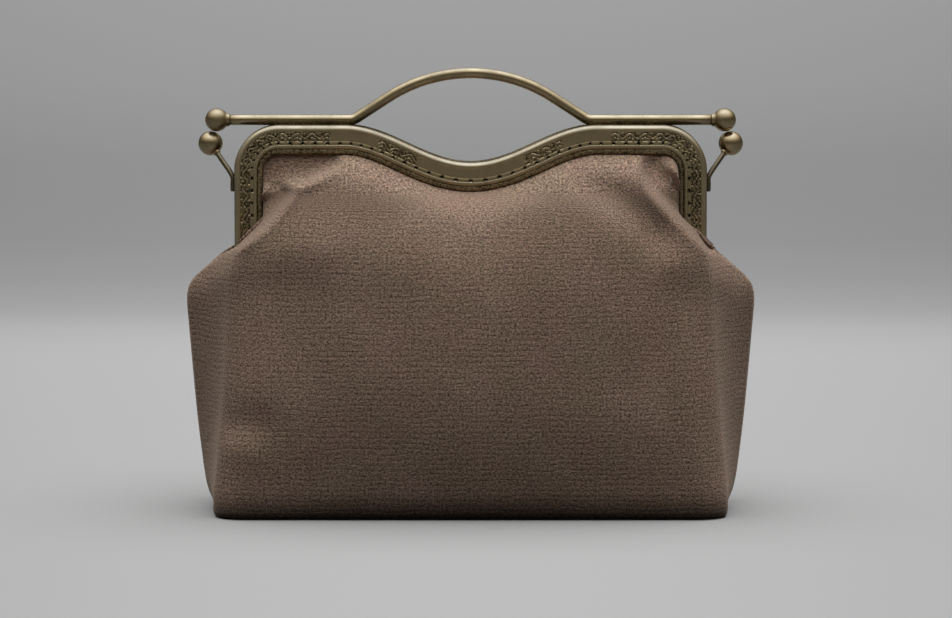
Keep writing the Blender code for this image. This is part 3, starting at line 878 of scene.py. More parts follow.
@dataclass
class Studio:
    """Pale sweep, soft overhead light and the camera at the photograph's angle."""

    view_width: float = 0.408
    sensor_width: float = 36.0
    distance: float = 2.0
    elevation: float = math.radians(5.6)
    aim: tuple[float, float, float] = (0.0023, 0.0, 0.0858)
    floor_radius: float = 9.0
    overhead_energy: float = 3.8
    overhead_spread: float = math.radians(90.0)
    overhead_lean: float = math.radians(2.0)
    fill_watts: float = 0.5
    fill_size: tuple[float, float] = (1.2, 0.5)
    fill_place: tuple[float, float, float] = (0.0, -1.3, 0.95)
    fill_tilt: float = math.radians(57.0)
    metal_horizon: float = 0.12
    metal_zenith: float = 2.75
    horizon_height: float = 0.20
    horizon_tint: Colour = (1.0, 0.90, 0.68)
    zenith_tint: Colour = (0.88, 1.0, 1.32)
    front_fill: float = 0.02
    side_fill: float = 0.05

    def camera(self) -> None:
        """Place the camera and make it the scene's own."""
        data = bpy.data.cameras.new("camera")
        data.sensor_width = self.sensor_width
        data.lens = data.sensor_width * self.distance / self.view_width
        data.clip_end = 100.0
        camera = into_scene("camera", data)
        back = Vector((0.0, -math.cos(self.elevation), math.sin(self.elevation)))
        camera.location = Vector(self.aim) + back * self.distance
        camera.rotation_euler = back.to_track_quat("Z", "Y").to_euler()
        bpy.context.scene.camera = camera

    def lamps(self) -> None:
        """Hang a broad overhead light and a weak one in front, which the metal doesn't mirror."""
        overhead = bpy.data.lights.new("overhead", "SUN")
        overhead.energy = self.overhead_energy
        overhead.angle = self.overhead_spread
        fill = bpy.data.lights.new("front_fill", "AREA")
        fill.shape = "RECTANGLE"
        fill.size, fill.size_y = self.fill_size
        fill.energy = self.fill_watts
        for data, place, turn in (
            (overhead, (0.0, 0.0, 0.0), (self.overhead_lean, self.overhead_lean, 0.0)),
            (fill, self.fill_place, (self.fill_tilt, 0.0, 0.0)),
        ):
            lamp = into_scene(data.name, data)
            lamp.location = place
            lamp.rotation_euler = turn
            lamp.visible_glossy = False

    def world(self) -> None:
        """Show the metal a dim horizon under a paler zenith, and light the rest weakly."""
        world = bpy.data.worlds.new("studio")
        bpy.context.scene.world = world
        world.use_nodes = True
        graph = Graph(world.node_tree)
        x, _, z = graph.axes(graph.place("Generated"))
        rise = graph.node("MapRange", {0: z, 1: self.horizon_height, 2: 1.0}).outputs[0]
        rise = graph.math("POWER", rise, 2.0)
        glossy = graph.node("LightPath").outputs["Is Glossy Ray"]
        span = self.metal_zenith - self.metal_horizon
        level = graph.math("MULTIPLY_ADD", rise, span, self.metal_horizon)
        fill = graph.math("MULTIPLY_ADD", graph.times(x, x), self.side_fill, self.front_fill)
        tint = graph.mix(rise, self.horizon_tint, self.zenith_tint)
        graph.feed(world.node_tree.nodes["Background"], {
            "Strength": graph.plus(graph.times(glossy, graph.minus(level, fill)), fill),
            "Color": graph.mix(glossy, (1.0, 1.0, 1.0), tint),
        })

    def floor(self) -> None:
        """Lay the sweep: pale round the bag and greyer far off by painted shade, with a dim bounce."""
        bm = bmesh.new()
        bmesh.ops.create_circle(bm, cap_ends=True, segments=96, radius=self.floor_radius)
        reach = self.distance * math.cos(self.elevation)
        height = self.aim[2] + self.distance * math.sin(self.elevation)
        piece_from(bm, "sweep", SweepPaper("sweep_paper", reach, height).make())

    def build(self) -> None:
        """Set the whole studio up."""
        bpy.context.scene.view_settings.view_transform = "Standard"
        self.camera()
        self.lamps()
        self.world()
        self.floor()


# The frame


@dataclass
class Track:
    """A line in the XZ plane, read by the distance along it and in from it."""

    line: np.ndarray
    along: np.ndarray = field(init=False)
    inward: np.ndarray = field(init=False)

    def __post_init__(self) -> None:
        """Measure the line and find its directions into the frame."""
        self.along = travelled(self.line)
        tangent = np.gradient(self.line, axis=0)
        tangent /= np.linalg.norm(tangent, axis=1, keepdims=True)
        self.inward = np.stack([tangent[:, 1], -tangent[:, 0]], axis=1)

    @property
    def length(self) -> float:
        """The line's whole length."""
        return self.along[-1]

    def spot(self, along: np.ndarray, inset: np.ndarray) -> tuple[np.ndarray, np.ndarray]:
        """Find places beside the line.

        Args:
            along: distances along the line.
            inset: distances in from it.

        Returns:
            X and Z of the places.
        """
        x, z, side_x, side_z = (np.interp(along, self.along, value)
                                for value in (*self.line.T, *self.inward.T))
        return x + side_x * inset, z + side_z * inset


@dataclass
class FrameEdge:
    """The outer edge that both frame halves are stamped to."""

    half_width: float = 0.1000
    top_z: float = 0.1642
    hinge_z: float = 0.1020
    corner_radius: float = 0.0185
    dip_depth: float = 0.0159
    dip_half_span: float = 0.0540
    channel_depth: float = 0.0072
    ear_radius: float = 0.0045
    ear_clearance: float = 0.0008
    joggle_height: float = 0.0030

    @property
    def leg_end(self) -> float:
        """The height where a leg's channel ends above its hinge ear."""
        return self.hinge_z + self.ear_radius + self.ear_clearance

    def line(self, foot_z: float, count: int, joggle: float = 0.0) -> np.ndarray:
        """The edge in the XZ plane, from the left foot over the top to the right foot.

        Args:
            foot_z: the height where both legs end.
            count: how many even stretches the line has.
            joggle: how far the legs' lowest stretch is set inwards.

        Returns:
            count + 1 points of X and Z.
        """
        corner_x = self.half_width - self.corner_radius
        corner_z = self.top_z - self.corner_radius
        leg_z = np.linspace(foot_z, corner_z, 60)[:-1]
        leg = np.stack([np.full_like(leg_z, -self.half_width), leg_z], axis=1)
        corner = arc((-corner_x, corner_z), self.corner_radius, math.pi, math.pi / 2, 60)
        dip_x = np.linspace(-self.dip_half_span, 0.0, 140)
        share = (1.0 + np.cos(math.pi * dip_x / self.dip_half_span)) / 2.0
        dip = np.stack([dip_x, self.top_z - self.dip_depth * share], axis=1)
        left = np.vstack([leg, corner, dip])
        step = self.leg_end + self.joggle_height
        left[:, 0] += joggle * (1.0 - smoothstep(step, step + self.joggle_height, left[:, 1]))
        return evenly(mirrored(left), count)


@dataclass
class Ornament:
    """A running vine with leaves and berries, stamped between the rim and the sewing line.

    Each leaf has its offset along the vine, its level, its tilt, its reach and its breadth.
    """

    near: float = 0.0017
    far: float = 0.0063
    near_edge: tuple[float, float] = (0.0015, 0.0020)
    far_edge: tuple[float, float] = (0.0060, 0.0064)
    period: float = 0.0064
    swing: float = 0.0010
    stem: float = 0.00032
    leaves: tuple[tuple[float, ...], ...] = (
        (0.0, -0.00095, 0.0, 0.00072, 0.00058),
        (-0.0013, -0.00140, 0.8, 0.00100, 0.00048),
        (0.0013, -0.00140, -0.8, 0.00100, 0.00048),
    )
    vein_depth: float = 0.45
    vein_width: float = 0.00022
    berry_level: float = -0.0019
    berry_radius: float = 0.00032
    berry_edge: float = 0.00020

    def band(self, across: np.ndarray) -> np.ndarray:
        """1 at distances from the edge where the band lies, fading to 0 beside it."""
        return smoothstep(*self.near_edge, across) * (1.0 - smoothstep(*self.far_edge, across))

    def height(self, along: np.ndarray, across: np.ndarray) -> np.ndarray:
        """The vine's height at places on the band.

        Args:
            along: distance along the frame's edge.
            across: distance in from the edge.

        Returns:
            0 on the ground of the band to 1 on the vine.
        """
        middle = (self.near + self.far) / 2
        wave = 2 * math.pi * along / self.period
        stem_line = middle + self.swing * np.sin(wave)
        slope = np.sqrt(1.0 + (2 * math.pi * self.swing / self.period * np.cos(wave)) ** 2)
        height = 1.0 - smoothstep(self.stem * 0.6, self.stem * 1.3, np.abs(across - stem_line) / slope)
        for side, shift in ((1, 0.25), (-1, 0.75)):
            local = ((along / self.period - shift + 0.5) % 1.0 - 0.5) * self.period
            rise = (across - middle) * side
            for offset, level, tilt, reach, breadth in self.leaves:
                dx = local - offset
                dz = rise - level
                turned = dx * math.cos(tilt) + dz * math.sin(tilt)
                lifted = -dx * math.sin(tilt) + dz * math.cos(tilt)
                oval = np.sqrt((turned / reach) ** 2 + (lifted / breadth) ** 2)
                vein = self.vein_depth * (1.0 - smoothstep(0.0, self.vein_width, np.abs(lifted)))
                leaf = (1.0 - smoothstep(0.75, 1.1, oval)) * (1.0 - vein)
                height = np.maximum(height, leaf)
            berry = np.hypot(np.abs(local) - self.period / 4, rise - self.berry_level)
            edge = self.berry_radius + self.berry_edge
            height = np.maximum(height, 1.0 - smoothstep(self.berry_radius, edge, berry))
        return height


@dataclass(frozen=True)
class Wear:
    """How dark (above 0) or rubbed (below 0) each zone of a stamped half is, and its reach: patina in the
    stamping, rubbed rim and bead, dark rings round the holes, a darker lip, and painted shade on the
    channel's outer wall, its rear and under the bead.
    """

    vine: float = 0.72
    # rear: an even painted shade over the channel's rear side.
    rear: float = 0.45
    # seam: a painted shadow line just below the bead.
    seam: float = 0.90
    under_bead_shadow_offset: float = 0.00080
    under_bead_shadow_width: float = 0.00035
    lip: float = 0.36
    lip_starts: tuple[float, float] = (0.0006, 0.0010)
    hole: float = 0.45
    hole_width: float = 0.0003
    bead: float = -0.22
    bead_width: float = 0.00028
    rim: float = -0.28
    rim_ends: tuple[float, float] = (0.0008, 0.0014)
    # wall: painted shade on the channel's outer wall behind the rim, all along the edge, standing in for the
    # bar's shadow.
    wall: float = 0.90
    wall_shade_depths: tuple[float, float] = (0.0006, 0.0012)
    wall_shade_reach: float = 0.0012


@dataclass
class FrameHalf:
    """One stamped channel: rounded rim, ornament, sewing holes, bead line and inner lip."""

    facing: Facing
    edge: FrameEdge
    brass: bpy.types.Material
    joggle: float = 0.0
    stations: int = 940
    face_width: float = 0.0110
    rear_lip: float = 0.0085
    rim_radius: float = 0.0014
    rim_flatness: float = 0.85
    rim_proud: float = 0.0001
    rim_crown: tuple[tuple[float, float], ...] = ((0.0017, 0.00012), (0.00145, -0.00008), (0.0011, -0.00014))
    lip_edge: tuple[tuple[float, float], ...] = ((0.0, 0.0011), (0.0002, 0.0005), (0.0006, 0.00026))
    lip_face: tuple[tuple[float, float], ...] = ((0.0098, 0.00030), (0.0093, 0.00040), (0.0089, 0.00042))
    sewing_band: tuple[float, float, float] = (0.00768, 0.00630, -0.00023)
    stamped_band: tuple[float, float, float] = (0.00612, 0.00195, -0.00027)
    corner_starts: tuple[float, float] = (0.0590, 0.0605)
    flank_starts: tuple[float, float] = (0.0205, 0.0222)
    flank_ends: tuple[float, float] = (0.0372, 0.0388)
    foot_starts: tuple[float, float] = (0.0010, 0.0030)
    hole_inset: float = 0.0071
    hole_radius: float = 0.00076
    hole_pitch: float = 0.0053
    end_margin: float = 0.004
    rim_catch: float = 0.62
    rim_clear: float = 0.3
    ground_depth: float = 0.00045
    ground_proud: float = 0.00005
    plain_share: float = 0.35
    bead_inset: float = 0.00820
    bead_half_width: float = 0.00042
    bead_height: float = 0.00018
    bead_sunk: float = 0.00004
    ear_sheet: float = 0.0006
    ear_bore: float = 0.0018
    ear_sides: int = 32
    neck_start: float = 0.2
    neck_end: float = 0.8
    neck_rise: float = 0.55
    ornament: Ornament = field(default_factory=Ornament)
    wear: Wear = field(default_factory=Wear)

    def profile(self) -> np.ndarray:
        """The channel's section, from the inner lip over the rim to the rear lip.

        Returns:
            Points of inset from the outer edge and depth behind the face.
        """
        quarter = math.pi / 2
        rear_depth = self.edge.channel_depth
        section = [(self.face_width - back, depth) for back, depth in self.lip_edge]
        section += self.lip_face
        for turn in np.linspace(-quarter, quarter, 7):
            section.append((self.bead_inset - self.bead_half_width * math.sin(turn),
                            self.bead_sunk - self.bead_height * math.cos(turn) ** 1.5))
        section += [(inset, 0.0) for inset in np.arange(*self.sewing_band)]
        section += [(inset, self.ground_depth) for inset in np.arange(*self.stamped_band)]
        section += self.rim_crown
        for turn in np.linspace(math.radians(20.0), quarter, 6):
            section.append((self.rim_radius * self.rim_flatness * (1 - math.sin(turn)),
                            self.rim_radius * (1 - math.cos(turn)) - self.rim_proud))
        section.append((0.0, rear_depth - self.rim_radius))
        for turn in np.linspace(quarter, 0.0, 5)[1:]:
            section.append((self.rim_radius * (1 - math.sin(turn)),
                            rear_depth - self.rim_radius * (1 - math.cos(turn))))
        section += [(self.rear_lip * 0.6, rear_depth), (self.rear_lip, rear_depth)]
        return np.array(section)

    def track(self) -> Track:
        """The half's outer edge between its two ears."""
        return Track(self.edge.line(self.edge.leg_end, self.stations, self.joggle))

    def face_y(self, depth: np.ndarray) -> np.ndarray:
        """Y at a depth behind the half's face."""
        return self.facing.value * (SEAT_GAP / 2 + self.edge.channel_depth - depth)

    def hole_places(self, length: float) -> np.ndarray:
        """Distances along the edge at which the sewing holes lie, evenly about the middle."""
        each_side = int((length / 2 - self.end_margin) / self.hole_pitch)
        return length / 2 + self.hole_pitch * np.arange(-each_side, each_side + 1)

    def stamped(self, along: np.ndarray, track: Track) -> np.ndarray:
        """How far the ornament is stamped at places along the edge.

        Args:
            along: distances along the edge.
            track: the edge.

        Returns:
            0 on the plain shoulders and dip to 1 on the legs, corners and flanks.
        """
        away = np.abs(np.interp(along, track.along, track.line[:, 0]))
        outer = smoothstep(*self.corner_starts, away)
        inner = smoothstep(*self.flank_starts, away) * (1.0 - smoothstep(*self.flank_ends, away))
        ends = smoothstep(*self.foot_starts, np.minimum(along, track.length - along))
        return np.maximum(outer, inner) * ends

    def grime_and_painted_shade(self, front: np.ndarray, inset: np.ndarray, depth: np.ndarray, reach: np.ndarray,
              relief: np.ndarray) -> np.ndarray:
        """How dark or rubbed the metal is at places on the section: patina, rubbing and painted shade.

        Args:
            front: where the face is.
            inset: distances in from the edge.
            depth: depths behind the face.
            reach: distances from the nearest sewing hole's middle.
            relief: the stamping's own patina.

        Returns:
            Above 0 where it is darkened by patina or painted shade, below 0 where it is rubbed.
        """
        wear = self.wear
        past_bead = inset - self.bead_inset
        # A painted shadow line just below the bead.
        seam = wear.seam * bell(past_bead, wear.under_bead_shadow_offset, wear.under_bead_shadow_width)
        lip = wear.lip * smoothstep(*wear.lip_starts, past_bead)
        hole = wear.hole * bell(reach, self.hole_radius, wear.hole_width)
        bead = wear.bead * bell(past_bead, 0.0, wear.bead_width)
        rim = wear.rim * (1.0 - smoothstep(*wear.rim_ends, inset))
        # Painted shade on the channel's outer wall behind the rim.
        wall = wear.wall * smoothstep(*wear.wall_shade_depths, depth) * (inset < wear.wall_shade_reach)
        # The channel's rear side takes an even painted shade.
        return np.where(front, relief + seam + lip + hole + bead + rim, wear.rear) + wall

    def build_channel(self) -> bmesh.types.BMesh:
        """Sweep the section along the edge, stamp it and pierce the sewing holes.

        Returns:
            The channel's outer skin, with its recess attribute.
        """
        track = self.track()
        section = self.profile()
        place = np.tile(track.along, (len(section), 1))
        inset = np.tile(section[:, :1], (1, len(track.along)))
        depth = np.tile(section[:, 1:], (1, len(track.along)))
        front = depth < self.edge.channel_depth / 2
        holes = self.hole_places(track.length)
        index = np.round((place - holes[0]) / self.hole_pitch).astype(int)
        middle = holes[np.clip(index, 0, len(holes) - 1)]
        along, across = place - middle, inset - self.hole_inset
        reach = np.hypot(along, across)
        cell = track.along[1]
        on_rim = (np.abs(reach - self.hole_radius) < self.rim_catch * cell) & front
        inside = (reach < self.hole_radius - self.rim_clear * cell) & front & ~on_rim
        scale = np.where(on_rim, self.hole_radius / np.maximum(reach, 1e-9), 1.0)
        place = np.where(on_rim, middle + along * scale, place)
        inset = np.where(on_rim, self.hole_inset + across * scale, inset)
        band = self.ornament.band(inset)
        stamped = self.stamped(place, track) * band * front
        vine = self.ornament.height(place, inset)
        sunk = self.plain_share + (1.0 - self.plain_share) * stamped
        depth = np.where(front & (band > 0), depth * sunk, depth)
        depth = depth - stamped * vine * (self.ground_depth + self.ground_proud)
        # The recess attribute holds the stamping's patina, the rubbed edges and the painted shade.
        recess = self.grime_and_painted_shade(front, inset, depth, reach, stamped * (1.0 - self.wear.vine * vine))
        x, z = track.spot(place, inset)
        points = np.stack([x, self.face_y(depth), z], axis=2)
        bm = sheet_of_points(points, recess=recess, outward=self.facing.value)
        bm.verts.ensure_lookup_table()
        doomed = [bm.verts[int(number)] for number in np.flatnonzero(inside)]
        bmesh.ops.delete(bm, geom=doomed, context="VERTS")
        return bm

    def ear(self, side: Side) -> bmesh.types.BMesh:
        """A hinge ear: a bored disc about the rivet with a neck up into the leg.

        Args:
            side: the leg's side.

        Returns:
            The ear.
        """
        edge = self.edge
        bm = bmesh.new()
        disc, _ = (
            bmesh.ops.create_circle(bm, cap_ends=False, segments=self.ear_sides, radius=radius)["verts"]
            for radius in (edge.ear_radius, self.ear_bore)
        )
        bmesh.ops.bridge_loops(bm, edges=bm.edges[:])
        for vert in disc:
            share = vert.co.y / edge.ear_radius
            if share > self.neck_start:
                rise = self.neck_rise * smoothstep(self.neck_start, self.neck_end, share).item()
                vert.co.y = edge.ear_radius * (1.0 + rise)
        stand = Matrix(((0, 0, 1, 0), (1, 0, 0, 0), (0, 1, 0, 0), (0, 0, 0, 1)))
        bmesh.ops.transform(bm, matrix=stand, verts=bm.verts)
        grown = bmesh.ops.extrude_face_region(bm, geom=bm.faces[:])["geom"]
        inwards = Vector((-side.value * self.ear_sheet, 0.0, 0.0))
        bmesh.ops.translate(bm, vec=inwards, verts=new_verts(grown))
        place = Vector((side.value * (edge.half_width - self.joggle), 0.0, edge.hinge_z))
        bmesh.ops.translate(bm, vec=place, verts=bm.verts)
        faces_out(bm)
        return bm

    def build(self) -> list[bpy.types.Object]:
        """Build the half with its ears and let it stand for its CAD node.

        Returns:
            The half and its two ears.
        """
        label = self.facing.label
        half = piece_from(self.build_channel(), label + "_frame_stamped", self.brass)
        give_wall(half, SHEET_METAL)
        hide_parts(label + "_frame")
        ears = [piece_from(self.ear(side), f"{label}_ear_{side.label}", self.brass, sharp=35.0)
                for side in Side]
        return in_brass([half] + ears, self.facing.half)


@dataclass
class Stitching:
    """Backstitches from hole to hole, drawn to the holes' inner sides by the cloth."""

    half: FrameHalf
    thread: bpy.types.Material
    radius: float = 0.00032
    pull: float = 0.00005
    unevenness: float = 0.00012
    thickness_range: tuple[float, float] = (0.9, 1.1)
    end_thickness: float = 0.80
    hole_share: float = 0.11
    sunk_ends: float = 0.0009
    sides: int = 8
    steps: int = 9

    def build(self) -> bpy.types.Object:
        """Build every stitch of one half as one piece of thread.

        Returns:
            The thread.
        """
        half = self.half
        track = half.track()
        holes = half.hole_places(track.length)
        chance = np.random.default_rng(5)
        share = np.linspace(0.0, 1.0, self.steps)
        arch = np.sin(math.pi * share)
        depth = self.sunk_ends - (self.sunk_ends + self.radius * 0.75) * arch ** 0.45
        shape = self.end_thickness + (1.0 - self.end_thickness) * arch
        bm = bmesh.new()
        for first, second in zip(holes, holes[1:]):
            along = first + (second - first) * (self.hole_share + (1.0 - 2 * self.hole_share) * share)
            inset = half.hole_inset + self.pull + chance.uniform(-self.unevenness, self.unevenness)
            x, z = track.spot(along, inset)
            radii = self.radius * shape * chance.uniform(*self.thickness_range)
            swept_rod(bm, np.stack([x, half.face_y(depth), z], axis=1), radii, self.sides)
        faces_out(bm)
        thread = piece_from(bm, half.facing.label + "_stitching", self.thread)
        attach(thread, half.facing.half)
        return thread


# Handle and clasp


def ball_end(centre: Vector, towards: Vector, radius: float, rod_radius: float, name: str,
             material: bpy.types.Material) -> bpy.types.Object:
    """Turn a ball with a small collar round the rod that enters it.

    Args:
        centre: the ball's centre.
        towards: the direction in which the rod leaves it.
        radius: the ball's radius.
        rod_radius: the rod's radius.
        name: the piece's name.
        material: its finish.

    Returns:
        The ball.
    """
    collar = rod_radius + 0.0005
    rim = radius + 0.0005
    bore = rod_radius * 0.9
    profile = [(bore, radius * 0.5), (bore, rim), (collar - 0.0001, rim), (collar, radius + 0.0002)]
    start = math.asin(min(1.0, collar / radius)) * 1.06
    for turn in np.linspace(start, math.pi, 26)[:-1]:
        profile.append((radius * math.sin(turn), radius * math.cos(turn)))
    profile.append((0.0, -radius))
    bm = bmesh.new()
    verts = [bm.verts.new((across, 0.0, along)) for across, along in profile]
    edges = [bm.edges.new(pair) for pair in zip(verts, verts[1:])]
    bmesh.ops.spin(bm, geom=verts + edges, cent=(0, 0, 0), axis=(0, 0, 1), angle=2 * math.pi,
                   steps=40, use_merge=True)
    bmesh.ops.remove_doubles(bm, verts=bm.verts, dist=MERGE_DISTANCE)
    bmesh.ops.contextual_create(bm, geom=[edge for edge in bm.edges if edge.is_boundary])
    turn = towards.to_track_quat("Z", "Y").to_matrix().to_4x4()
    bmesh.ops.transform(bm, matrix=Matrix.Translation(centre) @ turn, verts=bm.verts)
    faces_out(bm)
    return piece_from(bm, name, material, sharp=50.0)


@dataclass
class Handle:
    """The round bar that rises in an arch over the dip, with a ball on each end."""

    edge: FrameEdge
    brass: bpy.types.Material
    rod_radius: float = 0.00226
    rod_sides: int = 28
    ball_x: float = 0.1085
    ball_radius: float = 0.00495
    arch_half_span: float = 0.0500
    arch_rise: float = 0.0200
    flank: float = math.radians(33.0)
    bend_radius: float = 0.0060
    y: float = 0.0032

    @property
    def level(self) -> float:
        """The height of the bar's straight ends."""
        return self.edge.top_z + SEAT_GAP + self.rod_radius

    def line(self) -> np.ndarray:
        """The bar's centre line, from the left ball to the right one.

        Returns:
            Its points, one a row.
        """
        flank = self.flank
        crown_radius = (self.arch_half_span - self.arch_rise / math.tan(flank)) / (
            math.sin(flank) - (1.0 - math.cos(flank)) / math.tan(flank)
        )
        start = -self.arch_half_span - self.bend_radius * math.tan(flank / 2)
        end = -(self.ball_x - self.ball_radius * 0.6)
        flat = np.stack([np.linspace(end, start, 8)[:-1], np.full(7, self.level)], axis=1)
        down, up = -math.pi / 2, math.pi / 2
        bend = arc((start, self.level + self.bend_radius), self.bend_radius, down, down + flank, 10)
        crown_z = self.level + self.arch_rise - crown_radius
        crown = arc((0.0, crown_z), crown_radius, up + flank, up, 28)
        whole = mirrored(np.vstack([flat, bend, crown]))
        return np.insert(whole, 1, self.y, axis=1)

    def build(self) -> list[bpy.types.Object]:
        """Build the bar and its two balls.

        Returns:
            The three pieces.
        """
        line = self.line()
        bm = bmesh.new()
        swept_rod(bm, line, np.full(len(line), self.rod_radius), self.rod_sides)
        faces_out(bm)
        bar = piece_from(bm, "handle_rod", self.brass)
        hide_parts("handle_bar")
        made = [bar]
        for side in Side:
            centre = Vector((side.value * self.ball_x, self.y, self.level))
            towards = Vector((-side.value, 0.0, 0.0))
            ball = ball_end(centre, towards, self.ball_radius, self.rod_radius,
                            "bar_ball_" + side.label, self.brass)
            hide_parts("handle_ball_" + side.label)
            made.append(ball)
        return in_brass(made, "back_half")


@dataclass
class Clasp:
    """The bent arms on the front half's legs, each with its ball."""

    edge: FrameEdge
    handle: Handle
    brass: bpy.types.Material
    arm_brass: bpy.types.Material
    arm_radius: float = 0.0011
    arm_sides: int = 20
    arm_steps: int = 40
    foot_taper: tuple[float, float] = (0.82, 0.96)
    ball_radius: float = 0.0052
    ball_x: float = 0.1113
    ball_drop: float = 0.0101
    ball_y: float = 0.0040
    foot_drop: float = 0.0276
    bend_drop: float = 0.0210
    arm_y: float = -0.0037

    def build(self) -> list[bpy.types.Object]:
        """Build both arms and both balls.

        Returns:
            The four pieces.
        """
        made = []
        for side in Side:
            foot_x = side.value * (self.edge.half_width + SEAT_GAP + self.arm_radius)
            centre = np.array([side.value * self.ball_x, self.ball_y, self.handle.level - self.ball_drop])
            foot = np.array([foot_x, self.arm_y, self.edge.top_z - self.foot_drop])
            bend = np.array([foot_x, self.arm_y, self.edge.top_z - self.bend_drop])
            rise = bend - foot
            reach = centre - bend
            away = reach / np.linalg.norm(reach)
            bent = np.array([
                foot, foot + rise * 0.5, bend - rise * 0.12,
                bend + reach * 0.14, bend + reach * 0.45, centre - away * self.ball_radius * 0.5,
            ])
            line = evenly(rounded(bent, 8), self.arm_steps)
            radii = np.full(len(line), self.arm_radius)
            radii[:2] *= self.foot_taper
            bm = bmesh.new()
            swept_rod(bm, line, radii, self.arm_sides)
            faces_out(bm)
            arm = piece_from(bm, "clasp_rod_" + side.label, self.arm_brass)
            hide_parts("clasp_arm_" + side.label)
            ball = ball_end(Vector(centre), Vector(-away), self.ball_radius, self.arm_radius,
                            "clasp_knob_" + side.label, self.brass)
            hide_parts("clasp_ball_" + side.label)
            made += [arm, ball]
        return in_brass(made, "front_half")


# The pouch


@dataclass(frozen=True)
class Fold:
    """A fold along a line on a panel, seen from the front, in millimetres.

    The crest has a height and a width, the fades are the lengths over which the fold grows and
    dies, and the hollow beside the crest has a depth, a width and the share that its wall takes.
    """

    line: tuple[tuple[float, float], ...]
    crest: tuple[float, float]
    fades: tuple[float, float]
    hollow: tuple[float, float, float] | None = None
    side: int = 1

    def push(self, x: np.ndarray, z: np.ndarray) -> np.ndarray:
        """How far the cloth stands out at places on the panel.

        Args:
            x: places across, in metres.
            z: heights, in metres.

        Returns:
            Distances outwards in metres, negative in the hollow.
        """
        line = rounded(np.array(self.line), 6) * MM
        nearest = np.full(x.shape, 1e9)
        signed = np.zeros(x.shape)
        along = np.zeros(x.shape)
        done = 0.0
        for start, end in zip(line, line[1:]):
            length = float(np.linalg.norm(end - start))
            step = (end - start) / length
            off_x, off_z = x - start[0], z - start[1]
            share = np.clip(off_x * step[0] + off_z * step[1], 0.0, length)
            gap = np.hypot(off_x - share * step[0], off_z - share * step[1])
            closer = gap < nearest
            nearest = np.where(closer, gap, nearest)
            turn = np.sign(step[0] * off_z - step[1] * off_x)
            signed = np.where(closer, gap * turn * self.side, signed)
            along = np.where(closer, done + share, along)
            done += length
        grow, die = self.fades
        height, width = self.crest
        fade = smoothstep(0.0, grow * MM, along) if grow else 1.0
        if die:
            fade = fade * (1.0 - smoothstep(done - die * MM, done, along))
        shape = height * bell(nearest, 0.0, width * MM)
        if self.hollow:
            depth, breadth, wall = self.hollow
            share = signed / (breadth * MM)
            shape = shape - depth * smoothstep(0.0, wall, share) * (1.0 - smoothstep(0.45, 1.0, share))
        return MM * fade * shape


FOLDS: tuple[Fold, ...] = (
    # the pockets beside the left leg, under the left shoulder and beside the right leg
    Fold(((-98.3, 112.8), (-92.2, 118.4), (-85.8, 124.0), (-81.1, 129.5), (-77.3, 134.2), (-73.2, 139.7)),
         crest=(1.6, 3.0), fades=(3.0, 5.0), hollow=(17.0, 17.0, 0.10)),
    Fold(((-88.5, 136.8), (-79.1, 139.3), (-69.7, 141.5), (-59.9, 145.8), (-52.0, 149.4)),
         crest=(2.2, 3.0), fades=(0.0, 8.0), hollow=(16.0, 26.0, 0.07)),
    Fold(((102.4, 109.7), (98.0, 114.1), (89.5, 123.5), (81.4, 132.1), (75.9, 138.2), (72.4, 144.4),
          (71.6, 152.0)),
         crest=(1.2, 4.0), fades=(3.0, 2.0), hollow=(14.0, 15.0, 0.16), side=-1),
    # the right corner's crest and the long dent that runs down from the dip
    Fold(((89.0, 135.0), (83.2, 139.0), (78.0, 141.0)), crest=(3.0, 3.0), fades=(0.0, 4.0)),
    Fold(((40.0, 146.5), (50.7, 141.5), (60.4, 136.5), (71.9, 127.7), (82.0, 116.0), (88.0, 106.0)),
         crest=(-4.0, 7.0), fades=(4.0, 20.0)),
    # the bulges under both legs
    Fold(((-114.0, 107.0), (-95.0, 111.0), (-75.0, 114.0), (-50.0, 113.0)),
         crest=(2.4, 11.0), fades=(4.0, 18.0)),
    Fold(((114.0, 107.0), (95.0, 110.0), (75.0, 113.0)), crest=(2.2, 11.0), fades=(4.0, 12.0)),
    # the dents and the low bulge beside the left seam
    Fold(((-119.0, 29.0), (-109.3, 29.9)), crest=(-1.3, 1.8), fades=(0.0, 5.0)),
    Fold(((-99.0, 39.7), (-91.0, 41.0)), crest=(-1.8, 9.0), fades=(0.0, 0.0)),
    Fold(((-102.0, 31.0), (-96.0, 31.0)), crest=(1.0, 7.0), fades=(0.0, 0.0)),
    # the soft waves across the middle
    Fold(((-70.0, 118.0), (-40.0, 110.0), (-10.0, 108.0)), crest=(0.8, 13.0), fades=(12.0, 16.0)),
    Fold(((20.0, 70.0), (55.0, 62.0), (90.0, 60.0)), crest=(-0.7, 16.0), fades=(16.0, 16.0)),
)


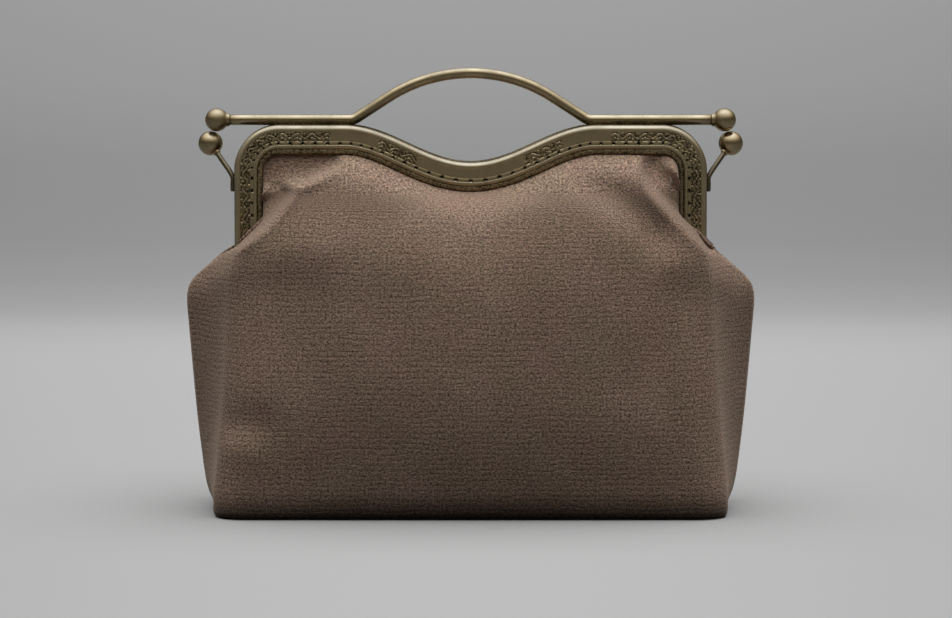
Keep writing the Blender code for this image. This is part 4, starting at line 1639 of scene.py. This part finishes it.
@dataclass
class PouchShape:
    """The pouch's outer surface between its base, its side seams and the frame's mouth.

    The swell's rows are a share of the height and how far the cloth stands out there in
    millimetres. The shares shape a side: seam rows hold width and height, and shoulder rows how
    far the edge has gone inwards, upwards and forwards on its way to the frame.
    """

    edge: FrameEdge
    folds: tuple[Fold, ...] = FOLDS
    base_half_width: float = 0.1093
    base_half_depth: float = 0.0400
    base_corner: float = 0.0130
    base_roll: float = 0.0018
    half_width: float = 0.1215
    widest_z: float = 0.0890
    bulge_power: float = 2.9
    swell: tuple[tuple[float, float], ...] = (
        (0.0, 0.0), (0.05, 4.1), (0.1, 7.5), (0.2, 13.2), (0.3, 17.9), (0.4, 21.4), (0.5, 23.8),
        (0.6, 25.7), (0.7, 27.0), (0.8, 26.6), (0.9, 23.4), (0.95, 18.8), (0.98, 11.0), (1.0, 0.0),
    )
    side_fade: float = 10.0
    stitching_end_z: float = 0.1240
    face_width: float = 0.0110
    mouth_gap: float = 0.0005
    tuck_inset: float = 0.0055
    cloth_front_gap: float = 0.0007
    shoulder_forward: float = 0.0098
    leg_gap: float = 0.0006
    crossing_z: float = 0.1262
    crossing_lean: float = 0.0016
    crossing_slope: float = 1.03
    crossing_starts: tuple[float, float] = (0.110, 0.114)
    hollow_start: float = -0.0090
    hollow_end: float = -0.0060
    fold_base_fade: float = 0.03
    fold_mouth_fade: float = 0.975
    fold_seam_fade: float = 0.992
    even_share: float = 0.5
    even_starts: tuple[float, float] = (0.078, 0.096)
    even_rounds: int = 6
    columns: int = 236
    rows: int = 176
    tuck_rows: int = 4
    seam_shares: tuple[tuple[float, float], ...] = (
        (0.932, 0.112), (0.952, 0.290), (0.969, 0.498), (0.982, 0.697), (0.993, 0.876), (1.000, 1.000),
    )
    shoulder_shares: tuple[tuple[float, float, float], ...] = (
        (0.012, 0.149, 0.00), (0.052, 0.249, 0.02), (0.142, 0.346, 0.14), (0.297, 0.469, 0.45),
        (0.485, 0.617, 0.85), (0.592, 0.694, 1.00), (0.780, 0.877, 1.05), (0.950, 0.974, 1.00),
    )

    def base_line(self) -> np.ndarray:
        """The base's front outline, from the left seam round the front to the right one.

        Returns:
            Its points at the height 0, one a row.
        """
        corner = (self.base_corner - self.base_half_width, self.base_corner - self.base_half_depth)
        turn = arc(corner, self.base_corner, math.pi, 1.5 * math.pi, 24)
        left = np.vstack([[-self.base_half_width, 0.0], turn])
        whole = np.vstack([left, left[::-1] * np.array([-1.0, 1.0])])
        return np.insert(whole, 2, 0.0, axis=1)

    def channel_line(self, inset: float) -> np.ndarray:
        """A line along the front channel at the cloth's depth.

        Args:
            inset: how far in from the channel's outer edge it runs.

        Returns:
            Its points, one a row.
        """
        depth = -(SEAT_GAP / 2 + self.edge.channel_depth - SHEET_METAL - self.cloth_front_gap)
        track = Track(self.edge.line(self.stitching_end_z, 700))
        return np.insert(track.line + inset * track.inward, 1, depth, axis=1)

    def side_line(self, stitched_end: np.ndarray) -> np.ndarray:
        """A panel's left edge: up the side seam, over the shoulder and to the stitched edge.

        Args:
            stitched_end: the left end of the edge that is sewn to the frame.

        Returns:
            The edge's points, one a row.
        """
        points = [np.array([-self.base_half_width, 0.0, SEAT_GAP])]
        for width_share, height_share in self.seam_shares:
            points.append(np.array([-self.half_width * width_share, 0.0, self.widest_z * height_share]))
        top = points[-1]
        way = stitched_end - top
        for inward, up, forward in self.shoulder_shares:
            points.append(np.array([
                top[0] + way[0] * inward, -self.shoulder_forward * forward, top[2] + way[2] * up,
            ]))
        return rounded(np.array(points + [stitched_end]), 10)

    def surface(self) -> np.ndarray:
        """The front panel's outer surface, its last rows tucked into the channel.

        Returns:
            A grid of points, rows x columns x 3.
        """
        bottom = evenly(self.base_line(), self.columns) + np.array([0.0, 0.0, SEAT_GAP])
        top = evenly(self.channel_line(self.face_width + self.mouth_gap), self.columns)
        tucked = evenly(self.channel_line(self.tuck_inset), self.columns)
        left = evenly(self.side_line(top[0]), self.rows)
        t = np.linspace(0.0, 1.0, self.rows + 1)[:, None]
        place = np.linspace(-1.0, 1.0, self.columns + 1)
        rise = np.stack([1.0 - (1.0 - t) ** 2, t, t], axis=2)
        points = bottom + (top - bottom) * rise
        side = (left - points[:, 0])[:, None]
        from_left = ((1.0 - place) / 2.0) ** self.side_fade
        from_right = ((1.0 + place) / 2.0) ** self.side_fade
        both = from_left + from_right
        points += side * np.stack([from_left - from_right, both, both], axis=1)
        table = rounded(np.array(self.swell), 8)
        swell = MM * np.interp(t, table[:, 0], table[:, 1])
        points[:, :, 1] -= swell * (1.0 - np.abs(place) ** self.bulge_power)
        points = self.evened(self.clear_of_frame(self.rolled(self.folded(points, t))))
        steps = np.arange(1, self.tuck_rows + 1)[:, None, None] / self.tuck_rows
        return np.concatenate([points, points[-1] + (tucked - points[-1]) * steps])

    def folded(self, points: np.ndarray, t: np.ndarray) -> np.ndarray:
        """Push the folds into the surface, fading at the frame, the base and the seams.

        Args:
            points: the grid of the panel's outer surface.
            t: each row's share of the way from the base to the frame.

        Returns:
            The folded grid.
        """
        out = np.zeros(points.shape[:2])
        pit = np.zeros(points.shape[:2])
        for fold in self.folds:
            push = fold.push(points[:, :, 0], points[:, :, 2])
            out += np.maximum(push, 0.0) if fold.hollow else push
            if fold.hollow:
                pit = np.minimum(pit, push)
        push = out + pit
        place = np.abs(np.linspace(-1.0, 1.0, self.columns + 1))
        calm = smoothstep(0.0, self.fold_base_fade, t) * (1.0 - smoothstep(self.fold_seam_fade, 1.0, place))
        mouth = 1.0 - smoothstep(self.fold_mouth_fade, 1.0, t)
        push = np.minimum(push, 0.0) + np.maximum(push, 0.0) * mouth
        y = points[:, :, 1]
        pushed = y - push * calm
        room = self.hollow_end - self.hollow_start
        deeper = np.maximum(pushed - self.hollow_start, 0.0)
        held = np.minimum(pushed, self.hollow_start) + room * (1.0 - np.exp(-deeper / room))
        moved = points.copy()
        moved[:, :, 1] = np.where(push < -0.0001, np.maximum(held, y), pushed)
        return moved

    def rolled(self, points: np.ndarray) -> np.ndarray:
        """Roll the lowest stretch of the panel in towards the base.

        Args:
            points: the grid of the panel's outer surface.

        Returns:
            The rolled grid.
        """
        share = np.clip(1.0 - points[:, :, 2] / (2.0 * self.base_roll), 0.0, 1.0)
        inset = self.base_roll * (1.0 - np.sqrt(1.0 - share ** 2))
        moved = points.copy()
        moved[:, :, 0] *= 1.0 - inset / self.base_half_width
        moved[:, :, 1] *= 1.0 - inset / self.base_half_depth
        return moved

    def evened(self, points: np.ndarray) -> np.ndarray:
        """Even out the grid beside the frame's legs and corners.

        Args:
            points: the grid of the panel's outer surface.

        Returns:
            The grid, each of its inner points drawn towards the mean of its four neighbours.
        """
        near = self.even_share * smoothstep(*self.even_starts, points[1:-1, 1:-1, 2:])
        points = points.copy()
        for _ in range(self.even_rounds):
            beside = points[:-2, 1:-1] + points[2:, 1:-1] + points[1:-1, :-2] + points[1:-1, 2:]
            points[1:-1, 1:-1] += (beside / 4 - points[1:-1, 1:-1]) * near
        return points

    def clear_of_frame(self, points: np.ndarray) -> np.ndarray:
        """Let the cloth cross the legs on a diagonal and keep it between them above that.

        Args:
            points: the grid of the panel's outer surface.

        Returns:
            The grid, with the points beyond the diagonal or the legs' inner sides moved to them.
        """
        face_y = -(SEAT_GAP / 2 + self.edge.channel_depth)
        x, y, z = np.moveaxis(points, 2, 0)
        behind = smoothstep(face_y - 0.0012, face_y - 0.0002, y)
        level = smoothstep(self.stitching_end_z - 0.004, self.stitching_end_z, z)
        inner = self.edge.half_width - self.face_width - self.leg_gap
        over = np.maximum(np.abs(x) - inner, 0.0) * behind * level
        crossing = self.crossing_z + self.crossing_lean * np.sign(x)
        reach = inner + self.crossing_slope * np.maximum(crossing - z, 0.0)
        beyond = np.maximum(np.abs(x) - reach, 0.0) * smoothstep(*self.crossing_starts, z)
        moved = points.copy()
        moved[:, :, 0] = x - np.sign(x) * np.maximum(over, beyond)
        return moved

    def cloth_uv(self, points: np.ndarray) -> np.ndarray:
        """Places on the flat cloth: along each row, and up the panel's middle.

        Args:
            points: the surface's grid.

        Returns:
            rows x columns x 2, in metres.
        """
        centre = self.columns // 2
        across = np.array([travelled(row) for row in points[:, :, :2]])
        across -= across[:, centre, None]
        middle = points[: self.rows + 1, centre]
        up = np.interp(points[:, :, 2], middle[:, 2], travelled(middle[:, 1:]))
        over = np.maximum(points[:, :, 2] - middle[-1, 2], 0.0)
        return np.stack([across, up + over], axis=2)


@dataclass
class Pouch:
    """Velvet, lining and base of the pouch."""

    shape: PouchShape
    velvet: bpy.types.Material
    base_velvet: bpy.types.Material
    lining: bpy.types.Material
    bend_low: float = 0.0860
    bend_high: float = 0.1180
    flat_width: float = 0.300
    flat_height: float = 0.206
    flat_fullness: float = 0.92
    base_fullness: float = 0.94
    least_cover: float = 0.8
    belly_z: float = 0.06
    base_stations: int = 120
    base_edge: float = 0.4

    def panel(self, facing: Facing, inset: float, thickness: float, name: str,
              material: bpy.types.Material) -> bpy.types.Object:
        """Build one layer of a panel.

        Args:
            facing: front or back.
            inset: how far behind the pouch's outer surface it lies.
            thickness: the cloth's thickness.
            name: the piece's name.
            material: its finish.

        Returns:
            The layer, closed all round.
        """
        outer = self.shape.surface()
        uv = self.shape.cloth_uv(outer)
        points = outer
        if inset:
            plain = replace(self.shape, folds=()).surface()
            normal = grid_normals(plain)
            normal *= np.sign(-normal[self.shape.rows // 2, self.shape.columns // 2, 1])
            points = plain - normal * inset
            points[:, :, 1] = np.maximum(points[:, :, 1], outer[:, :, 1] + inset * self.least_cover)
        points[:, :, 1] = np.minimum(points[:, :, 1], -SEAT_GAP / 2)
        if facing is Facing.BACK:
            points = points * np.array([1.0, -1.0, 1.0])
        bm = sheet_of_points(points, uv=uv)
        bm.normal_update()
        middle = Vector((0.0, facing.value * self.shape.base_half_depth, self.belly_z))
        centre = min(bm.faces, key=lambda face: (face.calc_center_median() - middle).length)
        if centre.normal.y * facing.value < 0:
            bmesh.ops.reverse_faces(bm, faces=bm.faces)
        piece = piece_from(bm, name, material)
        give_wall(piece, thickness)
        return piece

    def build_side(self, facing: Facing) -> list[bpy.types.Object]:
        """Build the velvet and the lining of one side.

        Args:
            facing: front or back.

        Returns:
            The two pieces.
        """
        label = facing.label
        velvet = self.panel(facing, 0.0, VELVET_THICKNESS, label + "_velvet", self.velvet)
        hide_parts(label + "_panel", label + "_panel_top", label + "_interlining")
        depth = VELVET_THICKNESS + INTERLINING_THICKNESS + 2 * SEAT_GAP
        lining = self.panel(facing, depth, LINING_THICKNESS, label + "_lining_cloth", self.lining)
        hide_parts(label + "_lining", label + "_lining_top")
        for piece in (velvet, lining):
            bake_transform(piece)
        return [velvet, lining]

    def base_sheet(self, name: str, bottom: float, thickness: float, inset: float,
                   material: bpy.types.Material) -> bpy.types.Object:
        """Build a flat layer of the base with softly rounded edges.

        Args:
            name: the piece's name.
            bottom: the height of its underside.
            thickness: in metres.
            inset: how far inside the base's outline it ends.
            material: its finish.

        Returns:
            The layer.
        """
        half_width, half_depth = self.shape.base_half_width, self.shape.base_half_depth
        front = evenly(self.shape.base_line(), self.base_stations)[:-1]
        outline = np.vstack([front, -front])
        outline[:, 0] *= 1.0 - inset / half_width
        outline[:, 1] *= 1.0 - inset / half_depth
        bm = bmesh.new()
        face = bm.faces.new([bm.verts.new((x, y, bottom)) for x, y, _ in outline])
        grown = bmesh.ops.extrude_face_region(bm, geom=[face])["geom"]
        bmesh.ops.translate(bm, vec=(0, 0, thickness), verts=new_verts(grown))
        faces_out(bm)
        rim = [edge for edge in bm.edges if len(edge.link_faces) == 2
               and edge.calc_face_angle(0.0) > math.radians(60.0)]
        bmesh.ops.bevel(bm, geom=rim, offset=thickness * self.base_edge, segments=3, profile=0.5,
                        affect="EDGES", material=-1)
        layer = bm.loops.layers.uv.new("UVMap")
        for face in bm.faces:
            for loop in face.loops:
                loop[layer].uv = loop.vert.co.xy
        piece = piece_from(bm, name, material, sharp=50.0)
        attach(piece, "pouch")
        return piece

    def build(self) -> list[bpy.types.Object]:
        """Build both sides and the base.

        Returns:
            The six pieces.
        """
        made = self.build_side(Facing.FRONT) + self.build_side(Facing.BACK)
        low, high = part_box("base_lining")
        tucked = VELVET_THICKNESS + self.shape.base_roll
        velvet = self.base_sheet("base_velvet", 0.0, VELVET_THICKNESS, tucked, self.base_velvet)
        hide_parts("base_panel")
        inset = self.shape.base_half_width - high.x
        lining = self.base_sheet("base_lining_cloth", low.z, LINING_THICKNESS, inset, self.lining)
        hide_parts("base_lining")
        return made + [velvet, lining]


def dress_node(node: str, material: bpy.types.Material) -> None:
    """Give a CAD node that stays a better finish.

    Args:
        node: the node's name.
        material: its new material.
    """
    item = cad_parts[node]
    item.data.materials.clear()
    item.data.materials.append(material)


def main() -> None:
    """Build the studio and the bag, piece by piece."""
    logging.basicConfig(level=logging.INFO, format="%(message)s")
    groups = {"grain": grain_group(), "ribs": rib_group(), "weave": weave_group()}
    plain_brass = AntiqueBrass("brass_plain", groups).make()
    stamped_brass = AntiqueBrass("brass_stamped", groups, stamped=True, roughness=0.33).make()
    # A darker, rougher copy of the brass for the clasp arms; its darkness is painted shade.
    painted_shade_brass = AntiqueBrass("brass_painted_shade", groups, bright=(0.17, 0.14, 0.085), roughness=0.34).make()
    velvet = RibbedVelvet("ribbed_velvet", groups).make()
    # The base cloth takes no painted shade.
    base_velvet = RibbedVelvet("base_velvet_cloth", groups, painted_base_shade_level=1.0).make()
    lining = WovenCloth("lining_cotton", groups).make()
    thread = TwistedThread("sewing_thread").make()
    Studio().build()
    edge = FrameEdge()
    made = []
    for facing, joggle in ((Facing.FRONT, 0.0), (Facing.BACK, SHEET_METAL + SEAT_GAP)):
        half = FrameHalf(facing, edge, stamped_brass, joggle=joggle)
        made += half.build()
        made.append(Stitching(half, thread).build())
    handle = Handle(edge, plain_brass)
    made += handle.build()
    made += Clasp(edge, handle, plain_brass, painted_shade_brass).build()
    made += Pouch(PouchShape(edge), velvet, base_velvet, lining).build()
    for side in Side:
        dress_node("hinge_rivet_" + side.label, plain_brass)
    dress_node("base_board", GreyCard("base_card").make())
    for piece in made:
        LOG.info("%s: %d faces", piece.name, len(piece.data.polygons))


if __name__ == "__main__":
    main()
